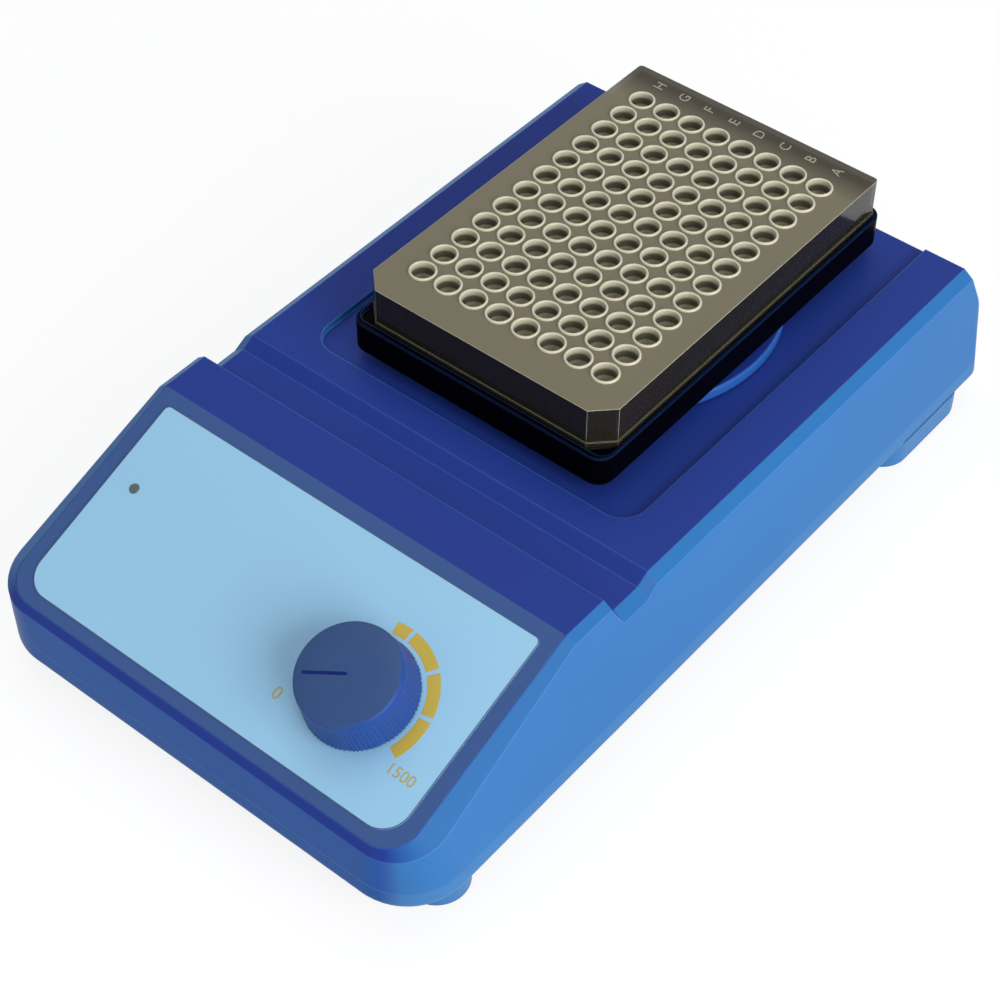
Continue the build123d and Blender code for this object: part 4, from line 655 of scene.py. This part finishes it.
def modify(piece: Piece, kind: str, **settings: object) -> None:
    """Add a modifier of one type to a piece, set its properties and apply it."""
    pick(piece)
    modifier = piece.modifiers.new(kind.lower(), kind)
    for key, value in settings.items():
        setattr(modifier, key, value)
    bpy.ops.object.modifier_apply(modifier=modifier.name)


def settle(piece: Piece, place: Matrix | None = None) -> None:
    """Move a piece to a place, if one is given, and write that place into its mesh."""
    if place is not None:
        piece.matrix_world = place @ piece.matrix_world
    pick(piece)
    bpy.ops.object.transform_apply(location=True, rotation=True, scale=True)


def smooth(piece: Piece, degrees: float) -> None:
    """Shade a piece smooth except at corners sharper than the angle."""
    pick(piece)
    bpy.ops.object.shade_smooth_by_angle(angle=math.radians(degrees))


def block(name: str, size: Place, centre: Place = ORIGIN, flat: bool = False) -> Piece:
    """Model a box, or a level rectangle if it is flat, by its size and centre."""
    clear_selection()
    add = bpy.ops.mesh.primitive_plane_add if flat else bpy.ops.mesh.primitive_cube_add
    add(size=1.0, location=centre)
    piece = name_new(name)
    piece.scale = size
    settle(piece)
    return piece


def lettering(
    name: str, text: str, size: float, half_thick: float, spot: Place = ORIGIN, turn: float = 0.0,
    **settings: float,
) -> Piece:
    """Model raised letters or figures, centred on a place.

    Args:
        name: The piece's name.
        text: What it says.
        size: Size of its type.
        half_thick: Half its thickness.
        spot: Its centre.
        turn: Its turn about the upright axis.
        **settings: Further settings of the type.

    Returns:
        The piece as a mesh.
    """
    clear_selection()
    bpy.ops.object.text_add(location=spot, rotation=(0.0, 0.0, turn))
    kind = bpy.context.object.data
    settings |= {
        "body": text, "size": size, "extrude": half_thick, "align_x": "CENTER", "align_y": "CENTER",
    }
    for key, value in settings.items():
        setattr(kind, key, value)
    bpy.ops.object.convert(target="MESH")
    return name_new(name)


def join(pieces: list[Piece], name: str) -> Piece:
    """Join several pieces into the first of them and name it."""
    pick(pieces[0])
    for piece in pieces:
        piece.select_set(True)
    bpy.ops.object.join()
    return name_new(name)


def place_piece(piece: Piece, finish: Dressing, body: Body) -> None:
    """Dress a new piece, give it its body, and report it."""
    piece.data.materials.clear()
    piece.data.materials.append(finish.material())
    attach(piece, body.value)
    log.info("%s: %d faces on %s", piece.name, len(piece.data.polygons), body.value)


@dataclass(frozen=True)
class PanelPlane:
    """The sloped panel, measured from the middle of the label's upper edge."""

    y: float = -67.87 * MM
    z: float = 54.25 * MM
    angle: float = math.radians(21.6)

    def at(self, across: float, down: float, lift: float) -> Matrix:
        """Give the frame of a point on the panel, its Z leaving and its Y climbing it."""
        turn = Matrix.Rotation(self.angle, 4, "X")
        base = Matrix.Translation(Vector((0.0, self.y, self.z)))
        return base @ turn @ Matrix.Translation(Vector((across, -down, lift)))


PANEL = PanelPlane()
KNOB_ACROSS = 34.3 * MM
KNOB_DOWN = 35.8 * MM


@dataclass
class ControlPanel:
    """Matte field of the panel, label outline, gold scale and dial numbers."""

    field_width: float = 138.5 * MM
    field_above: float = 4.15 * MM
    field_length: float = 69.6 * MM
    field_upper_radius: float = 1.0 * MM
    field_lower_radius: float = 9.8 * MM
    field_thick: float = 0.1 * MM
    label_width: float = 129.8 * MM
    label_length: float = 62.0 * MM
    label_lower_radius: float = 8.0 * MM
    label_upper_radius: float = 1.8 * MM
    label_top: float = 0.25 * MM
    outline_width: float = 0.3 * MM
    print_thick: float = 0.04 * MM
    upper_segments: int = 6
    lower_segments: int = 10
    scale_inner: float = 16.9 * MM
    scale_outer: float = 20.4 * MM
    scale_steps: int = 16
    # ends of each arc about the knob's axis, in degrees
    scale_spans: tuple[tuple[float, float], ...] = (
        (-26.0, 9.0), (12.5, 47.0), (50.5, 84.0), (87.5, 101.0),
    )
    # text, its centre across and down, and the height of its figures
    numbers: tuple[tuple[str, float, float, float], ...] = (
        ("0", 15.6 * MM, 47.9 * MM, 3.6 * MM), ("1500", 56.5 * MM, 47.4 * MM, 3.1 * MM),
    )
    type_share: float = 1.42  # size of type for each unit of a figure's height
    stroke_growth: float = 0.03 * MM

    def sheet(
        self, name: str, width: float, length: float, upper: float, lower: float, thick: float,
    ) -> Piece:
        """Model a thin sheet with rounded corners, its upper edge's middle at the origin.

        Args:
            name: The sheet's name.
            width: Size across.
            length: Size down the slope.
            upper: Radius of the two upper corners.
            lower: Radius of the two lower corners.
            thick: Thickness of the sheet.

        Returns:
            The sheet.
        """
        sheet = block(name, (width, length, 1.0), (0.0, -length / 2, 0.0), flat=True)
        edit(sheet)
        choose(sheet, "verts", lambda vert: vert.co.y < -length / 2)
        bevel(lower, self.lower_segments, "VERTICES")
        choose(sheet, "verts", lambda vert: vert.co.y > -upper / 2)
        bevel(upper, self.upper_segments, "VERTICES")
        select_whole()
        extrude(thick)
        close_edit()
        return sheet

    def matte_field(self) -> None:
        """Model the grained field that frames the label."""
        sheet = self.sheet(
            "panel_field", self.field_width, self.field_length,
            self.field_upper_radius, self.field_lower_radius, self.field_thick,
        )
        settle(sheet, PANEL.at(0.0, -self.field_above, 0.0))
        place_piece(sheet, PANEL_BLUE, Body.HOUSING)

    def outline(self) -> None:
        """Model the dark line printed along the label's edge."""
        sheet = self.sheet(
            "label_outline", self.label_width, self.label_length,
            self.label_upper_radius, self.label_lower_radius, self.print_thick,
        )
        edit(sheet)
        choose(sheet, "faces", lambda face: abs(face.normal.z) > LEVEL)
        bpy.ops.mesh.inset(thickness=self.outline_width, depth=0.0)
        bpy.ops.mesh.delete(type="FACE")
        choose(sheet, "edges", lambda edge: edge.is_boundary)
        bpy.ops.mesh.bridge_edge_loops()
        close_edit()
        settle(sheet, PANEL.at(0.0, 0.0, self.label_top))
        place_piece(sheet, LABEL_DARK, Body.HOUSING)

    def scale_segment(self, start: float, end: float) -> Piece:
        """Model one arc of the scale about the knob's axis.

        Args:
            start: Angle of its first end, in degrees.
            end: Angle of its other end.

        Returns:
            The arc.
        """
        wide = self.scale_outer - self.scale_inner
        middle = (self.scale_inner + self.scale_outer) / 2
        segment = block("scale_segment", (wide, 1.0, 1.0), (middle, 0.0, 0.0), flat=True)
        edit(segment)
        # one edge of the unit rectangle is kept, moved level with the axis and spun
        choose(segment, "verts", lambda vert: vert.co.y > 0)
        bpy.ops.mesh.delete(type="VERT")
        select_whole()
        bpy.ops.transform.translate(value=(0.0, 0.5, 0.0))
        bpy.ops.mesh.spin(
            steps=self.scale_steps, dupli=False, angle=-math.radians(end - start),
            center=ORIGIN, axis=(0.0, 0.0, 1.0),
        )
        select_whole()
        bpy.ops.mesh.remove_doubles(threshold=TOUCH)
        extrude(self.print_thick)
        close_edit()
        settle(segment, Matrix.Rotation(math.radians(start), 4, "Z"))
        return segment

    def speed_scale(self) -> None:
        """Model the gold scale round the knob."""
        arcs = [self.scale_segment(start, end) for start, end in self.scale_spans]
        scale = join(arcs, "speed_scale")
        settle(scale, PANEL.at(KNOB_ACROSS, KNOB_DOWN, self.label_top))
        place_piece(scale, LABEL_GOLD, Body.HOUSING)

    def number(self, text: str, across: float, down: float, height: float) -> None:
        """Print one number of the dial, its centre across and down the label."""
        half = self.print_thick / 2
        piece = lettering(
            f"dial_number_{text}", text, height * self.type_share, half, offset=self.stroke_growth,
        )
        settle(piece, PANEL.at(across, down, self.label_top + half))
        place_piece(piece, LABEL_PALE_GOLD, Body.HOUSING)

    def build(self) -> None:
        """Model every printed or grained piece of the panel."""
        self.matte_field()
        self.outline()
        self.speed_scale()
        for row in self.numbers:
            self.number(*row)


@dataclass
class SpeedKnob:
    """Knob with a ribbed skirt, a smooth rounded top and a pointer groove."""

    bottom: float = 0.9 * MM
    rib_top: float = 10.0 * MM
    collar: float = 0.5 * MM
    top: float = 13.0 * MM
    skirt_radius: float = 15.8 * MM
    shoulder_radius: float = 14.5 * MM
    top_radius: float = 14.1 * MM
    rounding: float = 0.6 * MM
    round_steps: int = 6
    cap_share: float = 0.5  # inner ring of the cap for each unit of its edge
    bore_radius: float = 8.5 * MM
    hollow_top: float = 5.5 * MM
    ribs: int = 84
    rib_points: int = 4
    rib_depth: float = 0.014
    smooth_to: float = 30.0
    pointer_angle: float = math.radians(210.0)
    pointer_length: float = 11.8 * MM
    pointer_width: float = 0.9 * MM
    pointer_thick: float = 0.3 * MM
    pointer_sunk: float = 0.1 * MM
    pointer_round: float = 0.45  # corner radius for each unit of width

    def build(self) -> None:
        """Model the knob and its mark, and let them stand for the plain solid."""
        clear_selection()
        bpy.ops.mesh.primitive_circle_add(
            vertices=self.ribs * self.rib_points, radius=self.skirt_radius, fill_type="NOTHING",
            location=(0.0, 0.0, self.bottom),
        )
        knob = name_new("ribbed_knob")
        settle(knob)
        edit(knob)
        choose(knob, "verts", self.in_groove)
        resize(1.0 - self.rib_depth, 1.0 - self.rib_depth)
        select_whole()
        extrude(self.rib_top - self.bottom)
        self.draw_in(self.skirt_radius, self.shoulder_radius)
        extrude(self.collar)
        close_edit(outward=False)
        self.close_ring(knob)
        settle(knob, PANEL.at(KNOB_ACROSS, KNOB_DOWN, 0.0))
        smooth(knob, self.smooth_to)
        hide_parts("speed_knob")
        place_piece(knob, KNOB_BLUE, Body.KNOB)
        self.mark()

    def in_groove(self, vert: bmesh.types.BMVert) -> bool:
        """Say whether a vertex of the ring lies in a groove between two ribs."""
        turn = math.atan2(vert.co.y, vert.co.x) / (2 * math.pi / self.ribs)
        return (turn + 0.25) % 1.0 < 0.5

    def draw_in(self, outer: float, inner: float) -> None:
        """Scale the selected loop from one radius to another."""
        resize(inner / outer, inner / outer)

    def close_ring(self, knob: Piece) -> None:
        """Close the knob with a rounded shoulder above and a hollow below.

        Args:
            knob: The open ribbed ring.
        """
        edit(knob)
        level = self.rib_top + self.collar
        choose(knob, "verts", lambda vert: vert.co.z > level - TOUCH)
        mesh = bmesh.from_edit_mesh(knob.data)
        for vert in mesh.verts:
            if vert.select:
                vert.co.xy = vert.co.xy.normalized() * self.shoulder_radius
        bmesh.update_edit_mesh(knob.data)
        inset = self.shoulder_radius - self.top_radius + self.rounding
        height, radius = 0.0, self.shoulder_radius
        for count in range(1, self.round_steps + 1):
            angle = math.pi / 2 * count / self.round_steps
            climb = math.sin(angle) * (self.top - level)
            reach = self.shoulder_radius - inset * (1 - math.cos(angle))
            extrude(climb - height)
            self.draw_in(radius, reach)
            height, radius = climb, reach
        extrude(0.0)
        resize(self.cap_share, self.cap_share)
        bpy.ops.mesh.edge_face_add()
        choose(knob, "verts", lambda vert: vert.co.z < self.bottom + TOUCH)
        extrude(0.0)
        self.draw_in(self.skirt_radius, self.bore_radius)
        extrude(self.hollow_top - self.bottom)
        bpy.ops.mesh.edge_face_add()
        close_edit()

    def mark(self) -> None:
        """Model the dark pointer line let into the knob's top."""
        pointer = block(
            "knob_pointer", (self.pointer_length, self.pointer_width, self.pointer_thick),
            (self.pointer_length / 2, 0.0, self.top - self.pointer_sunk),
        )
        edit(pointer)
        choose(pointer, "edges", lambda edge: is_upright(edge, self.pointer_thick / 2))
        bevel(self.pointer_width * self.pointer_round, segments=3)
        close_edit()
        turn = Matrix.Rotation(self.pointer_angle, 4, "Z")
        settle(pointer, PANEL.at(KNOB_ACROSS, KNOB_DOWN, 0.0) @ turn)
        place_piece(pointer, KNOB_MARK, Body.KNOB)


@dataclass
class WellPlate:
    """Clear plate with 96 round wells, a thin deck, walls and a base flange."""

    centre_y: float = 49.0 * MM
    floor_z: float = 61.5 * MM
    width: float = 85.48 * MM
    length: float = 127.76 * MM
    height: float = 14.35 * MM
    flange: float = 2.2 * MM
    inset: float = 0.3 * MM
    wall: float = 1.1 * MM
    deck_drop: float = 0.6 * MM
    chamfer: float = 6.0 * MM
    corner: float = 1.2 * MM
    pitch: float = 9.0 * MM
    across: int = 8
    along: int = 12
    facets: int = 28
    well_outer: float = 4.0 * MM
    well_inner: float = 3.35 * MM
    well_depth: float = 10.8 * MM
    well_floor: float = 1.1 * MM
    rim_round: float = 0.22 * MM
    floor_round: float = 0.9 * MM
    cutter_depth: float = 6.0 * MM
    cutter_overlap: float = 0.12 * MM
    row_letters: str = "HGFEDCBA"
    letter_height: float = 4.8 * MM
    letter_margin: float = 5.2 * MM
    letter_half_thick: float = 0.12 * MM
    gusset_wells: tuple[int, ...] = (1, 5, 9)
    gusset_in: float = 2.4 * MM
    gusset_thick: float = 0.9 * MM
    gusset_wide: float = 5.0 * MM
    gusset_high: float = 4.5 * MM
    gusset_taper: float = 0.05
    smooth_to: float = 40.0

    def deck(self) -> float:
        """Give the height of the deck between the wells."""
        return self.height - self.deck_drop

    def skirt(self) -> Piece:
        """Model deck, walls and flange as one thin shell.

        Returns:
            The shell, open below.
        """
        wide, long = self.width - 2 * self.inset, self.length - 2 * self.inset
        shell = block(
            "plate_shell", (wide, long, self.deck() - self.flange),
            (0.0, 0.0, (self.deck() + self.flange) / 2),
        )
        edit(shell)
        for end, offset, segments in ((-1, self.chamfer, 1), (1, self.corner, 5)):
            choose(
                shell, "edges",
                lambda edge: is_upright(edge, self.flange / 2)
                and all(end * vert.co.y > 0 for vert in edge.verts),
            )
            bevel(offset, segments)
        choose(shell, "faces", lambda face: face.normal.z < -LEVEL)
        bpy.ops.mesh.delete(type="FACE")
        choose(shell, "edges", lambda edge: edge.is_boundary)
        extrude(0.0)
        resize(self.width / wide, self.length / long)
        extrude(-self.flange)
        close_edit(outward=False)
        modify(shell, "SOLIDIFY", thickness=self.wall, offset=-1.0, use_even_offset=True)
        return shell

    def grid(self, piece: Piece) -> None:
        """Repeat one well over the whole plate, starting at its corner."""
        steps = ((self.across, (self.pitch, 0.0, 0.0)), (self.along, (0.0, self.pitch, 0.0)))
        for count, step in steps:
            modify(
                piece, "ARRAY", count=count, use_relative_offset=False,
                use_constant_offset=True, constant_offset_displace=step,
            )

    def corner_spot(self) -> Vector:
        """Give the centre of the front left well."""
        half = self.pitch / 2
        return Vector((-(self.across - 1) * half, -(self.along - 1) * half, 0.0))

    def round_bar(self, name: str, radius: float, depth: float, middle: float) -> Piece:
        """Model an upright cylinder in the front left well, its middle at a height."""
        spot = self.corner_spot()
        clear_selection()
        bpy.ops.mesh.primitive_cylinder_add(
            vertices=self.facets, radius=radius, depth=depth, location=(spot.x, spot.y, middle),
            end_fill_type="NGON",
        )
        bar = name_new(name)
        settle(bar)
        return bar

    def wells(self) -> Piece:
        """Model one well as a tube with a rounded rim, then all of them.

        Returns:
            The wells.
        """
        tall = self.well_depth + self.well_floor
        well = self.round_bar("plate_wells", self.well_outer, tall, self.height - tall / 2)
        edit(well)
        choose(well, "faces", lambda face: face.normal.z > LEVEL)
        bpy.ops.mesh.inset(thickness=self.well_outer - self.well_inner, depth=0.0)
        extrude(-self.well_depth)
        choose(well, "edges", self.on_rim)
        bevel(self.rim_round, segments=2)
        choose(well, "edges", self.on_floor)
        bevel(self.floor_round, segments=3)
        close_edit()
        self.grid(well)
        return well

    def on_rim(self, edge: bmesh.types.BMEdge) -> bool:
        """Say whether an edge runs round the rim of the well, inside or outside."""
        spot = self.corner_spot()
        radii = [(vert.co.xy - spot.xy).length for vert in edge.verts]
        high = all(vert.co.z > self.height - TOUCH for vert in edge.verts)
        return high and abs(radii[0] - radii[1]) < TOUCH

    def on_floor(self, edge: bmesh.types.BMEdge) -> bool:
        """Say whether an edge lies round the inside floor of the well."""
        level = self.height - self.well_depth
        return all(abs(vert.co.z - level) < TOUCH for vert in edge.verts)

    def cut_deck(self, shell: Piece) -> None:
        """Cut the holes that the wells fill out of the shell's deck."""
        radius = self.well_outer - self.cutter_overlap
        cutter = self.round_bar("well_cutter", radius, self.cutter_depth, self.height)
        self.grid(cutter)
        modify(shell, "BOOLEAN", operation="DIFFERENCE", solver="EXACT", object=cutter)
        bpy.data.objects.remove(cutter, do_unlink=True)

    def gusset(self, side: int, row: int) -> Piece:
        """Model one three-cornered gusset under the deck.

        Args:
            side: -1 for the left wall and 1 for the right one.
            row: The well behind which it stands, counted from the front.

        Returns:
            The gusset.
        """
        top = self.deck() - self.wall
        where = (
            side * (self.width / 2 - self.gusset_in),
            self.corner_spot().y + (row + 0.5) * self.pitch, top,
        )
        size = (self.gusset_thick, self.gusset_wide, 2 * self.gusset_high)
        gusset = block("plate_gusset", size, where)
        edit(gusset)
        select_whole()
        bpy.ops.mesh.bisect(
            plane_co=where, plane_no=(0.0, 0.0, 1.0), use_fill=True, clear_outer=True,
        )
        choose(gusset, "verts", lambda vert: vert.co.z < top - self.gusset_high / 2)
        resize(1.0, self.gusset_taper, where)
        close_edit()
        return gusset

    def letters(self) -> list[Piece]:
        """Model the raised row letters along the rear.

        Returns:
            The letters.
        """
        made = []
        for count, letter in enumerate(self.row_letters):
            spot = (
                self.corner_spot().x + count * self.pitch,
                self.length / 2 - self.letter_margin, self.deck(),
            )
            made.append(lettering(
                f"plate_mark_{letter}", letter, self.letter_height, self.letter_half_thick,
                spot, math.pi / 2, resolution_u=3,
            ))
            settle(made[-1])
        return made

    def build(self) -> None:
        """Model the plate and let it stand for the plain solid."""
        shell = self.skirt()
        self.cut_deck(shell)
        wells = self.wells()
        gussets = [self.gusset(side, row) for side in (-1, 1) for row in self.gusset_wells]
        plate = join([shell, *gussets], "plate_shell")
        marks = join(self.letters(), "plate_marks")
        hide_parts("microplate")
        place = Matrix.Translation(Vector((0.0, self.centre_y, self.floor_z)))
        for piece, finish in ((plate, PLATE_CLEAR), (wells, WELL_CLEAR), (marks, MARK_CLEAR)):
            settle(piece, place)
            smooth(piece, self.smooth_to)
            place_piece(piece, finish, Body.PLATE)


@dataclass
class Housing:
    """The solids that stay, each with its finish."""

    def build(self) -> None:
        """Give every solid the finish of its material."""
        for name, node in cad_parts.items():
            finish = NODE_FINISHES.get(name, STEEL)
            for slot in node.material_slots:
                slot.material = finish.material()
            log.info("%s: %s", name, finish.name)


@dataclass(frozen=True)
class Lamp:
    """A square white lamp that faces the object: place, side in metres and power in watts."""

    name: str
    spot: Place
    size: float
    power: float

    def build(self, target: Vector) -> None:
        """Hang the lamp and turn it to the target."""
        data = bpy.data.lights.new(self.name, "AREA")
        data.size = self.size
        data.energy = self.power
        lamp = bpy.data.objects.new(self.name, data)
        lamp.location = self.spot
        facing = target - Vector(self.spot)
        lamp.rotation_euler = facing.to_track_quat("-Z", "Y").to_euler()
        bpy.context.collection.objects.link(lamp)


@dataclass
class Studio:
    """Floor, soft lamps, pale world and the camera."""

    azimuth: float = math.radians(39.13)
    elevation: float = math.radians(46.70)
    roll: float = math.radians(0.44)
    distance: float = 649.29 * MM
    target: Place = (14.89 * MM, -23.42 * MM, 34.5 * MM)
    lens: float = 85.96
    sensor: float = 36.0
    nearest: float = 0.01
    farthest: float = 50.0
    floor_size: float = 12.0
    floor_z: float = -0.2 * MM
    floor_colour: Colour = (0.86, 0.87, 0.88)
    floor_rough: float = 0.9
    floor_specular: float = 0.1
    floor_glow: float = 1.06
    glow_share: float = 0.8
    sky_colour: Colour = (0.92, 0.96, 1.0)
    sky_strength: float = 0.34
    lamps: tuple[Lamp, ...] = (
        Lamp("right_lamp", (1.3, -0.3, 0.55), 1.2, 24.0),
        Lamp("top_lamp", (-0.3, 0.3, 1.5), 1.2, 7.0),
        Lamp("front_lamp", (-0.5, -1.3, 0.8), 0.9, 1.0),
    )

    def camera(self) -> None:
        """Place the camera where the photograph was taken."""
        swing = Matrix.Rotation(self.azimuth, 4, "Z")
        tilt = Matrix.Rotation(math.pi / 2 - self.elevation, 4, "X")
        turn = swing @ tilt @ Matrix.Rotation(self.roll, 4, "Z")
        back = turn.col[2].xyz
        data = bpy.data.cameras.new("photo_camera")
        data.lens = self.lens
        data.sensor_width = self.sensor
        data.clip_start = self.nearest
        data.clip_end = self.farthest
        camera = bpy.data.objects.new("photo_camera", data)
        camera.matrix_world = Matrix.Translation(Vector(self.target) + back * self.distance) @ turn
        bpy.context.collection.objects.link(camera)
        bpy.context.scene.camera = camera

    def world(self) -> None:
        """Light the scene softly and show the camera a white surrounding."""
        world = bpy.data.worlds.new("studio_world")
        bpy.context.scene.world = world
        world.use_nodes = True
        kit = NodeKit(world.node_tree)
        sky = {"Color": self.sky_colour, "Strength": self.sky_strength}
        soft = kit.fill(kit.tree.nodes["Background"], sky)[0]
        kit.blend(kit.seen_rays(), soft, kit.glow("Background", 1.0), "World Output")

    def floor(self) -> None:
        """Lay the pale floor."""
        size = (self.floor_size, self.floor_size, 1.0)
        floor = block("studio_floor", size, (0.0, 0.0, self.floor_z), flat=True)
        material = bpy.data.materials.new("pale_floor")
        material.use_nodes = True
        kit = NodeKit(material.node_tree)
        surface = kit.fill(kit.tree.nodes["Principled BSDF"], {
            "Base Color": self.floor_colour, "Roughness": self.floor_rough,
            "Specular IOR Level": self.floor_specular,
        })[0]
        share = kit.math("MULTIPLY", kit.seen_rays(), self.glow_share)
        kit.blend(share, surface, kit.glow("Emission", self.floor_glow), "Material Output")
        floor.data.materials.append(material)

    def build(self) -> None:
        """Set up the studio."""
        bpy.context.scene.view_settings.view_transform = "Standard"
        self.world()
        self.floor()
        for lamp in self.lamps:
            lamp.build(Vector(self.target))
        self.camera()


def plain(box: Iterable[Iterable[float]]) -> list[list[float]]:
    """Turn a box into plain lists of numbers."""
    return [[float(value) for value in corner] for corner in box]


def main() -> None:
    """Build every sub-assembly in order."""
    logging.basicConfig(level=logging.INFO, format="%(message)s")
    Studio().build()
    Housing().build()
    ControlPanel().build()
    SpeedKnob().build()
    WellPlate().build()


if __name__ == "__main__":
    main()
